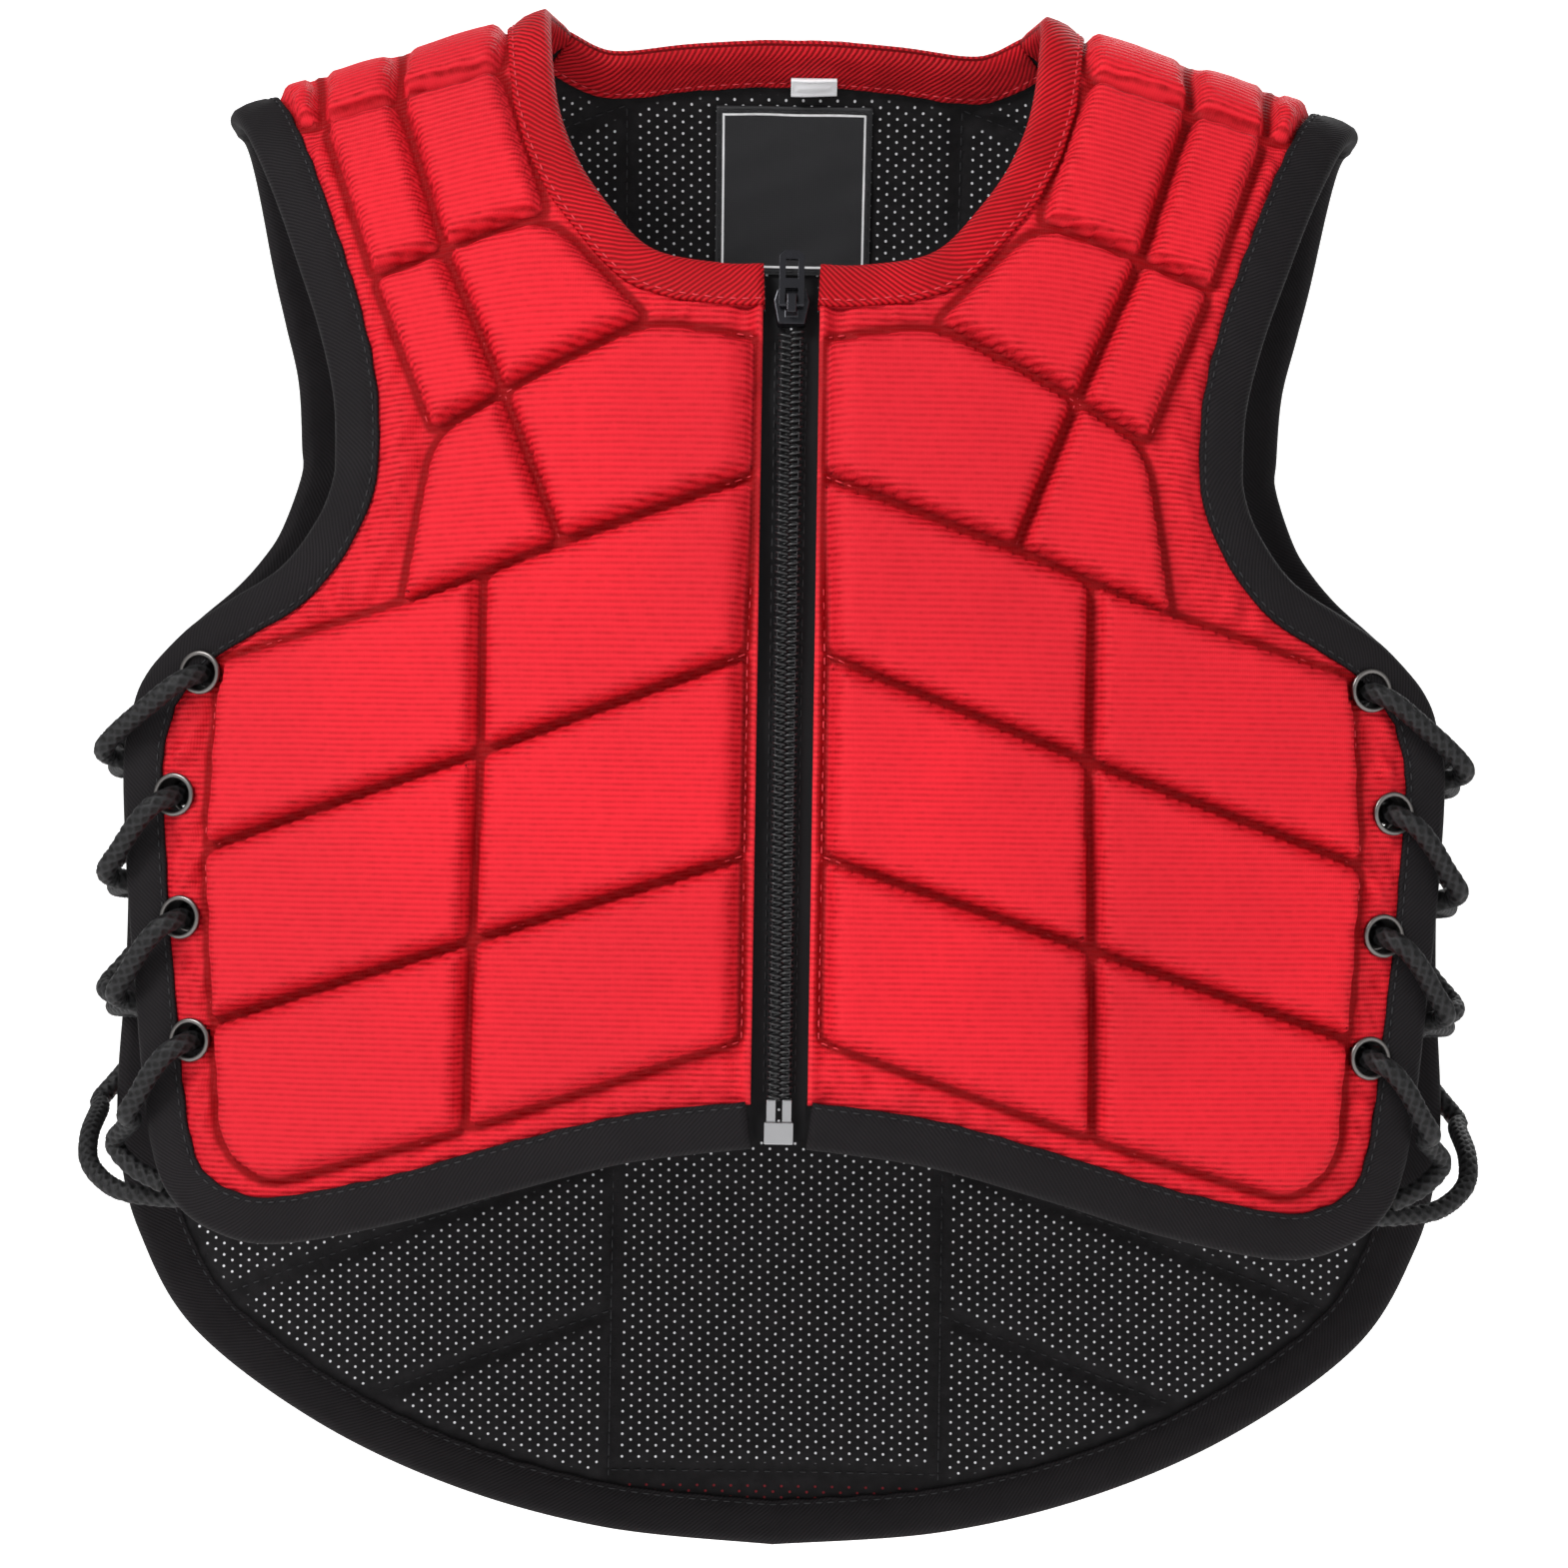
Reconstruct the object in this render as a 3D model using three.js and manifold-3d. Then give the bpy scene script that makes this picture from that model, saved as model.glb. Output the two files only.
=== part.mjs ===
// A padded riding vest: two front halves on a zip, a back with a long tail, bound edges and side laces.
// Millimetres, +Z up, the front looks along -Y, and the origin lies where the shoulders carry the vest.
import * as THREE from 'three';
import { mergeVertices } from 'three/addons/utils/BufferGeometryUtils.js';
import Module from 'manifold-3d';

// Trunk form
const HALF_WIDTH = 172;          // centre line to the side, where the two walls come nearest
const FRONT_DEPTH = 62;          // centre of the front wall from the plane of the shoulders
const BACK_DEPTH = 62;
const FRONT_SAG = 35;            // how far the front's sides lie behind its centre
const BACK_SAG = 36;
const SHOULDER_DROP = 154.5;     // crest down to where the walls hang upright
const CREST_SEAT = 4.5;          // middle of the wall above the shoulders
const STRAP_MIDDLE = 98;
const SHOULDER_FALL = 0.31;      // slope of the crest
const FRONT_TUCK = 0.04;         // share of the depth lost at the hem
const BACK_TUCK = 0.12;
const TUCK_LENGTH = 230;
const FRONT_CREST_POWER = 2.0;   // roundness of the profile over the shoulder
const BACK_CREST_POWER = 2.3;

// Pattern sizes, along the wall
const NECK_HALF = 64;            // centre line to the neck edge on the crest
const STRAP_WIDTH = 82;
const FRONT_NECK_DROP = 76.5;
const BACK_NECK_DROP = 15;
const FRONT_CHEST_HALF = 113;    // narrowest half width between the armholes
const BACK_CHEST_HALF = 129;
const ARM_DROP = 165;
const FRONT_SIDE = 169;
const BACK_SIDE = 176;
const FRONT_DROP = 287.2;        // crest to hem beside the zip
const HEM_DIP = 26.8;            // how much lower the hem hangs under the sides
const BACK_DROP = 402.4;
const SEAM_BACK = 12;            // shoulder seam behind the crest

// Walls
const BASE_HALF = 1.5;           // half the thickness of the flat sewn cloth
const PAD_RISE = 7.5;            // outer face of a pad above the middle of the wall
const PAD_BEVEL = 2.2;
const SHELL_LOW = 0.3;            // the back's shell and lining part here
const SHELL_BEVEL = 1.25;
const CHANNEL = 3.8;             // sewn channel between two pads
const GAP = 0.3;                 // running clearance between neighbours

// Bindings
const BIND_COVER = 10.6;         // black binding, edge to stitched line
const NECK_COVER = 9.2;
const BIND_WALL = 1.0;
const BIND_GAP = 0.6;            // above and below the cloth inside a binding

// Zip
const ZIP_EDGE = 7;              // centre line to the folded red edge
const TAPE_START = 1.4;
const TAPE_REACH = 13;           // the tape's far edge, behind the cloth
const TAPE_NECK = 6.6;           // the tape between the bindings
const TAPE_WALL = 0.8;
const TAPE_TOP = 78;
const CHAIN_WIDTH = 6.2;
const CHAIN_LOW = -1.5;
const CHAIN_HIGH = 1.3;
const SLIDER_DROP = 86.2;        // crest to the middle of the slider
const SLIDER_LENGTH = 9;
const SLIDER_WIDTH = 9;
const SLIDER_FOOT = 6.8;
const SLIDER_LOW = -1.4;
const SLIDER_HIGH = 2.6;
const LUG_WIDTH = 2.4;
const LUG_LENGTH = 5;
const LUG_RISE = 3.25;
const LUG_WALL = 1.2;
const PULL_WIDTH = 6.2;
const PULL_LENGTH = 14;
const PULL_WALL = 1.3;
const PULL_RISE = 1.1;           // hinge above the slider's face
const STOP_WIDTH = 7.2;
const STOP_LENGTH = 5.4;
const STOP_LOW = -1.4;
const STOP_HIGH = 1.9;
const PIN_LENGTH = 5.6;
const PIN_WIDTH = 2.3;

// Eyelets and laces
const EYELET_BORE = 8.2;
const EYELET_WALL = 0.5;
const EYELET_FLANGE = 10.8;
const EYELET_RIM = 0.6;
const EYELET_FOOT = -3.2;
const EYELET_SIDES = 8;
const EYELET_INSET = 14.2;       // centre of an eyelet from the bound edge
const EYELET_TOP = 173;          // crest to the highest eyelet
const EYELET_PITCH = 30.6;
const EYELETS = 4;
const LACE = 4.7;
const LACE_SIDES = 6;

// Small sewn pieces
const LABEL_WIDTH = 41;
const LABEL_TOP = 29;            // back drop of the label's upper edge
const LABEL_LENGTH = 43;
const LABEL_WALL = 0.8;
const TAG_WIDTH = 12;
const TAG_LENGTH = 4.4;
const TAG_WALL = 0.6;
const TAG_TOP = 21;
const TAG_MIDDLE = 5;

// Edge curves: down is a share of ARM_DROP, and inward goes from the strap's or side's edge to the chest width
const FRONT_ARM_UPPER = [
  { down: 0.0, inward: 0.0 },
  { down: 0.13, inward: 0.22 },
  { down: 0.255, inward: 0.44 },
  { down: 0.376, inward: 0.64 },
  { down: 0.5, inward: 0.84 },
  { down: 0.61, inward: 0.97 },
  { down: 0.7, inward: 1.0 },
];
const FRONT_ARM_LOWER = [
  { down: 0.75, inward: 0.99 },
  { down: 0.81, inward: 0.92 },
  { down: 0.884, inward: 0.75 },
  { down: 0.942, inward: 0.47 },
  { down: 0.985, inward: 0.29 },
  { down: 1.058, inward: 0.1 },
  { down: 1.115, inward: 0.035 },
  { down: 1.19, inward: 0.0 },
];
const BACK_ARM_UPPER = [
  { down: 0.0, inward: 0.0 },
  { down: 0.13, inward: 0.2 },
  { down: 0.345, inward: 0.52 },
  { down: 0.455, inward: 0.73 },
  { down: 0.56, inward: 0.94 },
  { down: 0.67, inward: 1.0 },
];
const BACK_ARM_LOWER = [
  { down: 0.72, inward: 1.0 },
  { down: 0.812, inward: 0.89 },
  { down: 0.863, inward: 0.78 },
  { down: 0.913, inward: 0.63 },
  { down: 0.965, inward: 0.43 },
  { down: 1.012, inward: 0.27 },
  { down: 1.08, inward: 0.14 },
  { down: 1.15, inward: 0.07 },
];

// Neck curves: across is a share of NECK_HALF, down of the neck's own drop
const FRONT_NECK = [
  { across: 1.0, down: 0.0 },
  { across: 0.967, down: 0.385 },
  { across: 0.878, down: 0.625 },
  { across: 0.733, down: 0.81 },
  { across: 0.553, down: 0.955 },
  { across: 0.281, down: 1.0 },
];
const BACK_NECK = [
  { across: 0.93, down: 0.8 },
  { across: 0.81, down: 1.17 },
  { across: 0.69, down: 1.25 },
  { across: 0.43, down: 1.1 },
  { across: 0.14, down: 1.0 },
  { across: 0.0, down: 1.0 },
];

// Side and hem of the front: down is a share of FRONT_DROP, dip of HEM_DIP, across of FRONT_SIDE
const FRONT_EDGE = [
  { across: 0.991, down: 0.784, dip: 0 },
  { across: 0.973, down: 0.89, dip: 0 },
  { across: 0.959, down: 0.965, dip: 0 },
  { across: 0.943, down: 1.0, dip: 0.2 },
  { across: 0.915, down: 1.0, dip: 0.6 },
  { across: 0.855, down: 1.0, dip: 0.88 },
  { across: 0.755, down: 1.0, dip: 1.0 },
  { across: 0.574, down: 1.0, dip: 0.78 },
  { across: 0.396, down: 1.0, dip: 0.45 },
  { across: 0.219, down: 1.0, dip: 0.15 },
  { across: 0.03, down: 1.0, dip: 0.0 },
];

// Side and tail of the back: down is a share of BACK_DROP, across of BACK_SIDE
const BACK_EDGE = [
  { across: 0.988, down: 0.52 },
  { across: 0.99, down: 0.62 },
  { across: 1.0, down: 0.7 },
  { across: 0.995, down: 0.745 },
  { across: 0.965, down: 0.795 },
  { across: 0.88, down: 0.858 },
  { across: 0.694, down: 0.919 },
  { across: 0.48, down: 0.963 },
  { across: 0.25, down: 0.99 },
  { across: 0.0, down: 1.0 },
];

// Sewn lines of the front's pads. On the strap, across is a share of STRAP_WIDTH outside NECK_HALF and
// down of ARM_DROP; on the trunk, across is a share of FRONT_SIDE and down of FRONT_DROP.
const STRAP_LINES = [
  { inner: [0.06, -0.061], split: [0.445, -0.061], outer: [0.72, -0.061], rim: [0.86, -0.061] },
  { inner: [0.122, 0.138], split: [0.445, 0.145], outer: [0.69, 0.148], rim: [0.85, 0.126] },
  { inner: [-0.04, 0.388], split: [0.28, 0.418], outer: [0.507, 0.44], rim: [0.6, 0.45] },
  { inner: [-0.354, 0.542], split: [0.085, 0.644], outer: [0.305, 0.694], rim: [0.4, 0.7] },
];
const TRUNK_LINES = [
  { inner: [0.047, 0.437], above: [0.331, 0.494], split: [0.444, 0.517], outer: [0.852, 0.59] },
  { inner: [0.056, 0.581], above: [0.444, 0.668], split: [0.444, 0.668], outer: [0.87, 0.756] },
  { inner: [0.056, 0.753], above: [0.453, 0.83], split: [0.453, 0.83], outer: [0.855, 0.907] },
  { inner: [0.056, 0.912], above: [0.459, 0.994], split: [0.459, 0.994], outer: [0.765, 1.048] },
];
const ARM_CORNER = [0.571, 0.545];     // foot of the lowest pad beside the armhole
const NECK_CORNER = [0.047, 0.325];    // the zip corner of the pad under the neck
const HEM_CORNER = [0.837, 1.017];

// Sewn lines of the back: across is a share of BACK_SIDE, down of BACK_DROP; fall is the slope outward
const BACK_COLUMN = 0.25;
const BACK_SPLIT = 0.55;
const BACK_FALL = 0.35;
const BACK_ROWS = [-0.1, 0.075, 0.2, 0.318, 0.425, 0.535, 0.642, 0.748, 0.85];
const CENTRE_ROWS = [0.06, 0.24, 0.435, 0.625, 0.955];

// A lace from one eyelet round its own edge to the inside of the other wall: out is the distance towards
// the edge, high the height above the middle of the wall, down the distance below the eyelet
const LACE_OUT = [
  { out: 0.0, high: -1.0, down: 0.0 },
  { out: 0.6, high: 5.3, down: 0.7 },
  { out: 4.0, high: 8.4, down: 3.2 },
  { out: 9.0, high: 8.2, down: 8.4 },
  { out: 13.8, high: 7.2, down: 14.0 },
  { out: 18.6, high: 5.4, down: 19.0 },
  { out: 20.4, high: -0.6, down: 21.0 },
  { out: 19.0, high: -7.6, down: 22.4 },
];
const LACE_IN = [
  { out: 9.5, high: -9.6, down: -4.8 },
  { out: 3.0, high: -8.4, down: -1.6 },
  { out: 0.2, high: -5.0, down: -0.2 },
];
const LACE_BAR = [
  { out: 0.2, high: -5.0, down: 0.0 },
  { out: 3.0, high: -9.0, down: -0.6 },
  { out: 8.0, high: -15.0, down: -1.0 },
];
const CROSS_OUT = { front: 170.6, back: 164.6 };     // where the two strands pass each other, x outward

// The lace's ends under the lowest eyelets: x outward, y to the back, z above the eyelet
const FRONT_END = [
  { x: 168, y: -21, z: -27 },
  { x: 163, y: -23, z: -33 },
  { x: 155, y: -25, z: -37 },
];
const BACK_END = [
  { x: 177.5, y: 6, z: -27 },
  { x: 176, y: -3, z: -34 },
  { x: 168.5, y: -11, z: -39.5 },
  { x: 158, y: -16, z: -41 },
  { x: 148, y: -20, z: -41 },
];

const COLOURS = {
  red: { color: 0xc8141c, roughness: 0.62, metalness: 0 },
  neck: { color: 0xb3121a, roughness: 0.7, metalness: 0 },
  lining: { color: 0x17171a, roughness: 0.9, metalness: 0 },
  binding: { color: 0x1b1a1e, roughness: 0.75, metalness: 0 },
  tape: { color: 0x151518, roughness: 0.8, metalness: 0 },
  coil: { color: 0x232327, roughness: 0.45, metalness: 0 },
  black_metal: { color: 0x202024, roughness: 0.35, metalness: 0.7 },
  silver: { color: 0xc9cacc, roughness: 0.25, metalness: 1 },
  gunmetal: { color: 0x77746f, roughness: 0.3, metalness: 1 },
  cord: { color: 0x141416, roughness: 0.85, metalness: 0 },
  label: { color: 0x1c1d20, roughness: 0.6, metalness: 0 },
  tag: { color: 0xe9e9ea, roughness: 0.7, metalness: 0 },
};

const wasm = await Module();
wasm.setup();
const group = new THREE.Group();
const mix = THREE.MathUtils.lerp;

// A list of [x, y] samples read as a function of x
function reader(samples) {
  return (x) => {
    let i = 1;
    while (i < samples.length - 1 && samples[i][0] < x) i += 1;
    const [a, b] = [samples[i - 1], samples[i]];
    return mix(a[1], b[1], (x - a[0]) / (b[0] - a[0]));
  };
}

// Half width reached after going a distance round the wall from the centre line
const ROUND_SAMPLES = 200;
const MEAN_SAG = (FRONT_SAG + BACK_SAG) / 2;
const roundSamples = [[0, 0]];
for (let i = 1, length = 0; i <= ROUND_SAMPLES; i += 1) {
  const step = (1.15 * HALF_WIDTH) / ROUND_SAMPLES;
  const x = i * step;
  const slope = (2 * MEAN_SAG * (x - step / 2)) / HALF_WIDTH ** 2;
  length += Math.hypot(step, step * slope);
  roundSamples.push([length, x]);
}
const acrossAfter = reader(roundSamples);

// Profile from the crest down to the upright wall, read by the distance from the crest
function crestProfile(power, depth) {
  const count = 200;
  const points = [];
  for (let i = 0; i <= count; i += 1) {
    const turn = (i / count) * (Math.PI / 2);
    points.push([Math.sin(turn) ** (2 / power), Math.cos(turn) ** (2 / power)]);
  }
  let length = 0;
  const out = [];
  const up = [];
  for (let i = 0; i < points.length; i += 1) {
    if (i > 0) {
      const run = 0.8 * depth * (points[i][0] - points[i - 1][0]);
      length += Math.hypot(run, SHOULDER_DROP * (points[i][1] - points[i - 1][1]));
    }
    out.push([length, points[i][0]]);
    up.push([length, points[i][1]]);
  }
  return { length, out: reader(out), up: reader(up) };
}

const WALLS = {
  front: {
    side: -1, depth: FRONT_DEPTH, sag: FRONT_SAG, tuck: FRONT_TUCK, reach: FRONT_DROP + HEM_DIP,
    crest: crestProfile(FRONT_CREST_POWER, FRONT_DEPTH),
  },
  back: {
    side: 1, depth: BACK_DEPTH, sag: BACK_SAG, tuck: BACK_TUCK, reach: BACK_DROP,
    crest: crestProfile(BACK_CREST_POWER, BACK_DEPTH),
  },
};

// Middle of the wall at a pattern point: s goes round to the side, w down the back (or up the front, below 0)
function wallPoint(s, w) {
  const wall = w < 0 ? WALLS.front : WALLS.back;
  const drop = Math.abs(w);
  const { length, out, up } = wall.crest;
  const x = acrossAfter(Math.abs(s));
  const crestZ = CREST_SEAT + SHOULDER_FALL * (STRAP_MIDDLE - Math.max(x, NECK_HALF));
  const below = Math.max(drop - length, 0);
  const uprightZ = CREST_SEAT - SHOULDER_DROP;
  const z = mix(uprightZ, crestZ, below > 0 ? 0 : up(drop)) - below;
  const depth = wall.depth - wall.sag * (x / HALF_WIDTH) ** 2;
  const tuck = 1 - wall.tuck * (below / TUCK_LENGTH) ** 2;
  const y = wall.side * depth * tuck * (below > 0 ? 1 : out(drop));
  return new THREE.Vector3(Math.sign(s) * x, y, z);
}

function wallNormal(s, w) {
  const near = 0.6;
  const round = wallPoint(s + near, w).sub(wallPoint(s - near, w));
  const along = wallPoint(s, w + near).sub(wallPoint(s, w - near));
  return round.cross(along).normalize();
}

// Facets of the bent walls: every solid is folded along the same lines, so neighbours stay parallel
const CREST_FOLDS = [0, 0.09, 0.2, 0.33, 0.48, 0.68, 1];
const LOWER_FOLDS = [0.5, 1.06];
const ROUND_FOLD = 38;
function foldLines() {
  const sides = Math.ceil((1.06 * Math.max(FRONT_SIDE, BACK_SIDE)) / ROUND_FOLD);
  const across = Array.from({ length: 2 * sides + 1 }, (_, i) => (i - sides) * ROUND_FOLD);
  const along = [];
  for (const wall of Object.values(WALLS)) {
    const { length } = wall.crest;
    for (const share of CREST_FOLDS) along.push(wall.side * share * length);
    for (const share of LOWER_FOLDS) along.push(wall.side * mix(length, wall.reach, share));
  }
  along.sort((a, b) => a - b);
  return { across, along: along.filter((value, i) => i === 0 || value - along[i - 1] > 1e-6) };
}
const FOLDS = foldLines();
const foldNodes = FOLDS.across.map((s) => FOLDS.along.map((w) => [wallPoint(s, w), wallNormal(s, w)]));

function cellOf(lines, value) {
  let i = 0;
  while (i < lines.length - 2 && value > lines[i + 1]) i += 1;
  return [i, (value - lines[i]) / (lines[i + 1] - lines[i])];
}

// A pattern point at a height above the middle of the wall, on the folded wall
function bend(s, w, height) {
  const [i, a] = cellOf(FOLDS.across, s);
  const [j, b] = cellOf(FOLDS.along, w);
  const result = new THREE.Vector3();
  for (const [di, dj, weight] of [[0, 0, (1 - a) * (1 - b)], [1, 0, a * (1 - b)], [0, 1, (1 - a) * b], [1, 1, a * b]]) {
    const [point, normal] = foldNodes[i + di][j + dj];
    result.addScaledVector(point, weight).addScaledVector(normal, height * weight);
  }
  return result;
}

// Closed geometry as a solid that can be joined and cut
function solid(geometry) {
  const bare = geometry.clone();
  for (const name of Object.keys(bare.attributes)) if (name !== 'position') bare.deleteAttribute(name);
  const merged = mergeVertices(bare.index ? bare.toNonIndexed() : bare, 1e-4);
  return new wasm.Manifold(new wasm.Mesh({
    numProp: 3,
    vertProperties: new Float32Array(merged.attributes.position.array),
    triVerts: new Uint32Array(merged.index.array),
  }));
}

function prism(points, low, high) {
  const shape = new THREE.Shape(points.map(([s, w]) => new THREE.Vector2(s, w)));
  const geometry = new THREE.ExtrudeGeometry(shape, { depth: high - low, bevelEnabled: false, steps: 1 });
  return solid(geometry.translate(0, 0, low));
}

function pad(points, low, high, bevel) {
  const shape = new THREE.Shape(points.map(([s, w]) => new THREE.Vector2(s, w)));
  const geometry = new THREE.ExtrudeGeometry(shape, {
    depth: high - low - 2 * bevel, steps: 1, bevelEnabled: true, bevelSegments: 1,
    bevelThickness: bevel, bevelSize: bevel, bevelOffset: -bevel,
  });
  return solid(geometry.translate(0, 0, low + bevel));
}

function disc(s, w, radius, low, high, sides) {
  const geometry = new THREE.CylinderGeometry(radius, radius, high - low, sides);
  geometry.rotateX(Math.PI / 2).translate(s, w, (low + high) / 2);
  return solid(geometry);
}

// A polyline moved sideways to its left
function aside(points, distance, closed = false) {
  const count = points.length;
  return points.map((point, i) => {
    const before = closed ? points[(i + count - 1) % count] : points[Math.max(i - 1, 0)];
    const after = closed ? points[(i + 1) % count] : points[Math.min(i + 1, count - 1)];
    const first = new THREE.Vector2(point[0] - before[0], point[1] - before[1]);
    const second = new THREE.Vector2(after[0] - point[0], after[1] - point[1]);
    if (first.length() === 0) first.copy(second);
    if (second.length() === 0) second.copy(first);
    first.normalize();
    second.normalize();
    const middle = first.clone().add(second).normalize();
    const stretch = distance / Math.max(middle.dot(first), 0.4);
    return [point[0] - middle.y * stretch, point[1] + middle.x * stretch];
  });
}

function longer(points, extra) {
  const grow = (end, next) => {
    const away = new THREE.Vector2(end[0] - next[0], end[1] - next[1]).setLength(extra);
    return [end[0] + away.x, end[1] + away.y];
  };
  return [grow(points[0], points[1]), ...points, grow(points.at(-1), points.at(-2))];
}

// Band along an edge whose panel lies on its left
function band(points, inward, outward) {
  return [...aside(points, -outward), ...aside(points, inward).reverse()];
}

// A smooth curve through a few points, as a polyline of even steps
function smooth(points, step) {
  const curve = new THREE.SplineCurve(points.map(([s, w]) => new THREE.Vector2(s, w)));
  const steps = Math.max(Math.round(curve.getLength() / step), 2);
  return curve.getSpacedPoints(steps).map((point) => [point.x, point.y]);
}

// Bound edge: a channel-shaped strip that wraps the edge of the cloth, kept to one side of the seam
function binding(points, cover, region) {
  const slotHalf = BASE_HALF + BIND_GAP;
  const edge = longer(points, 4);
  const outer = prism(band(edge, cover, GAP + BIND_WALL), -slotHalf - BIND_WALL, slotHalf + BIND_WALL);
  const slot = prism(band(edge, cover + 2, GAP), -slotHalf, slotHalf);
  return outer.subtract(slot).intersect(prism(region, -THROUGH, THROUGH));
}

// Triangles cut where they cross a fold line
const SNAP = 0.01;
function splitAt(mesh, axis, value) {
  const { points, faces, owner } = mesh;
  const side = points.map((point) => {
    const away = point[axis] - value;
    return Math.abs(away) < SNAP ? 0 : Math.sign(away);
  });
  const made = new Map();
  const crossing = (a, b) => {
    const key = a < b ? `${a},${b}` : `${b},${a}`;
    if (!made.has(key)) {
      const [p, q] = a < b ? [points[a], points[b]] : [points[b], points[a]];
      const share = (value - p[axis]) / (q[axis] - p[axis]);
      const point = p.map((number, i) => mix(number, q[i], share));
      point[axis] = value;
      made.set(key, points.push(point) - 1);
    }
    return made.get(key);
  };
  const result = [];
  const owners = [];
  faces.forEach((face, number) => {
    const signs = face.map((index) => side[index]);
    const pieces = [];
    if (!signs.includes(1) || !signs.includes(-1)) {
      pieces.push(face);
    } else if (signs.includes(0)) {
      const turn = signs.indexOf(0);
      const [on, b, c] = [0, 1, 2].map((i) => face[(i + turn) % 3]);
      const cut = crossing(b, c);
      pieces.push([on, b, cut], [on, cut, c]);
    } else {
      const lone = signs.findIndex((sign) => signs.filter((other) => other === sign).length === 1);
      const [a, b, c] = [0, 1, 2].map((i) => face[(i + lone) % 3]);
      const ab = crossing(a, b);
      const ac = crossing(a, c);
      pieces.push([a, ab, ac], [ab, b, c], [ab, c, ac]);
    }
    result.push(...pieces);
    owners.push(...pieces.map(() => owner[number]));
  });
  return { points, faces: result, owner: owners };
}

// Faces that lie in one flat facet and one cell of the folds, as lists of face numbers
function facets({ points, faces, owner }) {
  const middle = (face, axis) => face.reduce((sum, index) => sum + points[index][axis], 0) / 3;
  const keys = faces.map((face, i) => {
    const [across] = cellOf(FOLDS.across, middle(face, 0));
    const [along] = cellOf(FOLDS.along, middle(face, 1));
    return `${owner[i]},${across},${along}`;
  });
  const byEdge = new Map();
  faces.forEach((face, i) => face.forEach((start, k) => byEdge.set(`${start},${face[(k + 1) % 3]}`, i)));
  const facetOf = new Array(faces.length).fill(-1);
  const lists = [];
  for (let first = 0; first < faces.length; first += 1) {
    if (facetOf[first] >= 0) continue;
    const list = [];
    const open = [first];
    facetOf[first] = lists.length;
    while (open.length > 0) {
      const at = open.pop();
      list.push(at);
      faces[at].forEach((start, k) => {
        const next = byEdge.get(`${faces[at][(k + 1) % 3]},${start}`);
        if (facetOf[next] < 0 && keys[next] === keys[at]) {
          facetOf[next] = lists.length;
          open.push(next);
        }
      });
    }
    lists.push(list);
  }
  return { lists, facetOf, byEdge };
}

// Border loops of a facet, each as a list of point numbers
function borderLoops(list, faces, facetOf, byEdge) {
  const next = new Map();
  for (const i of list) {
    faces[i].forEach((start, k) => {
      const end = faces[i][(k + 1) % 3];
      if (facetOf[byEdge.get(`${end},${start}`)] !== facetOf[i]) {
        if (next.has(start)) next.get(start).push(end);
        else next.set(start, [end]);
      }
    });
  }
  const loops = [];
  for (const [start, ends] of next) {
    while (ends.length > 0) {
      const loop = [start];
      let at = ends.pop();
      while (at !== start) {
        loop.push(at);
        at = next.get(at).pop();
      }
      loops.push(loop);
    }
  }
  return loops;
}

const STRAIGHT = 4e-3;
function straightAt(points, before, at, after) {
  const a = new THREE.Vector3(...points[before]);
  const line = new THREE.Vector3(...points[after]).sub(a);
  const point = new THREE.Vector3(...points[at]).sub(a);
  return line.clone().cross(point).length() < STRAIGHT * line.length() && point.dot(line) > 0;
}

// The same surface with as few triangles as its facets need
function tidied(mesh) {
  const { points, faces } = mesh;
  const { lists, facetOf, byEdge } = facets(mesh);
  const around = points.map(() => new Set());
  faces.forEach((face, i) => face.forEach((index) => around[index].add(facetOf[i])));
  const result = [];
  for (const list of lists) {
    const normal = new THREE.Vector3();
    for (const i of list) {
      const [a, b, c] = faces[i].map((index) => new THREE.Vector3(...points[index]));
      normal.add(b.sub(a).cross(c.sub(a)));
    }
    const sizes = normal.toArray().map(Math.abs);
    const up = sizes.indexOf(Math.max(...sizes));
    const axes = [(up + 1) % 3, (up + 2) % 3];
    if (normal.getComponent(up) < 0) axes.reverse();
    const flat = (index) => new THREE.Vector2(points[index][axes[0]], points[index][axes[1]]);
    const loops = borderLoops(list, faces, facetOf, byEdge).map((loop) => {
      const kept = loop.filter((index, i) => {
        const straight = straightAt(points, loop.at(i - 1), index, loop[(i + 1) % loop.length]);
        return !straight || around[index].size > 2;
      });
      const corners = kept.filter((index, i) => (
        !straightAt(points, kept.at(i - 1), index, kept[(i + 1) % kept.length])
      ));
      return { kept, corners, area: THREE.ShapeUtils.area(corners.map(flat)) };
    });
    loops.sort((a, b) => b.area - a.area);
    const numbers = loops.flatMap(({ corners }) => corners);
    const [outer, ...holes] = loops.map(({ corners }) => corners.map(flat));
    let triangles = THREE.ShapeUtils.triangulateShape(outer, holes).map((face) => face.map((i) => numbers[i]));
    for (const { kept, corners } of loops) {
      for (const [i, start] of corners.entries()) {
        const end = corners[(i + 1) % corners.length];
        const turned = [...kept.slice(kept.indexOf(start)), ...kept.slice(0, kept.indexOf(start))];
        const between = turned.slice(1, turned.indexOf(end) < 0 ? undefined : turned.indexOf(end));
        if (between.length === 0) continue;
        triangles = triangles.flatMap((face) => {
          const turn = [0, 1, 2].findIndex((k) => face[k] === start && face[(k + 1) % 3] === end);
          if (turn < 0) return [face];
          const apex = face[(turn + 2) % 3];
          const chain = [start, ...between, end];
          return chain.slice(1).map((index, k) => [chain[k], index, apex]);
        });
      }
    }
    result.push(...triangles);
  }
  return { points, faces: result };
}

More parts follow.
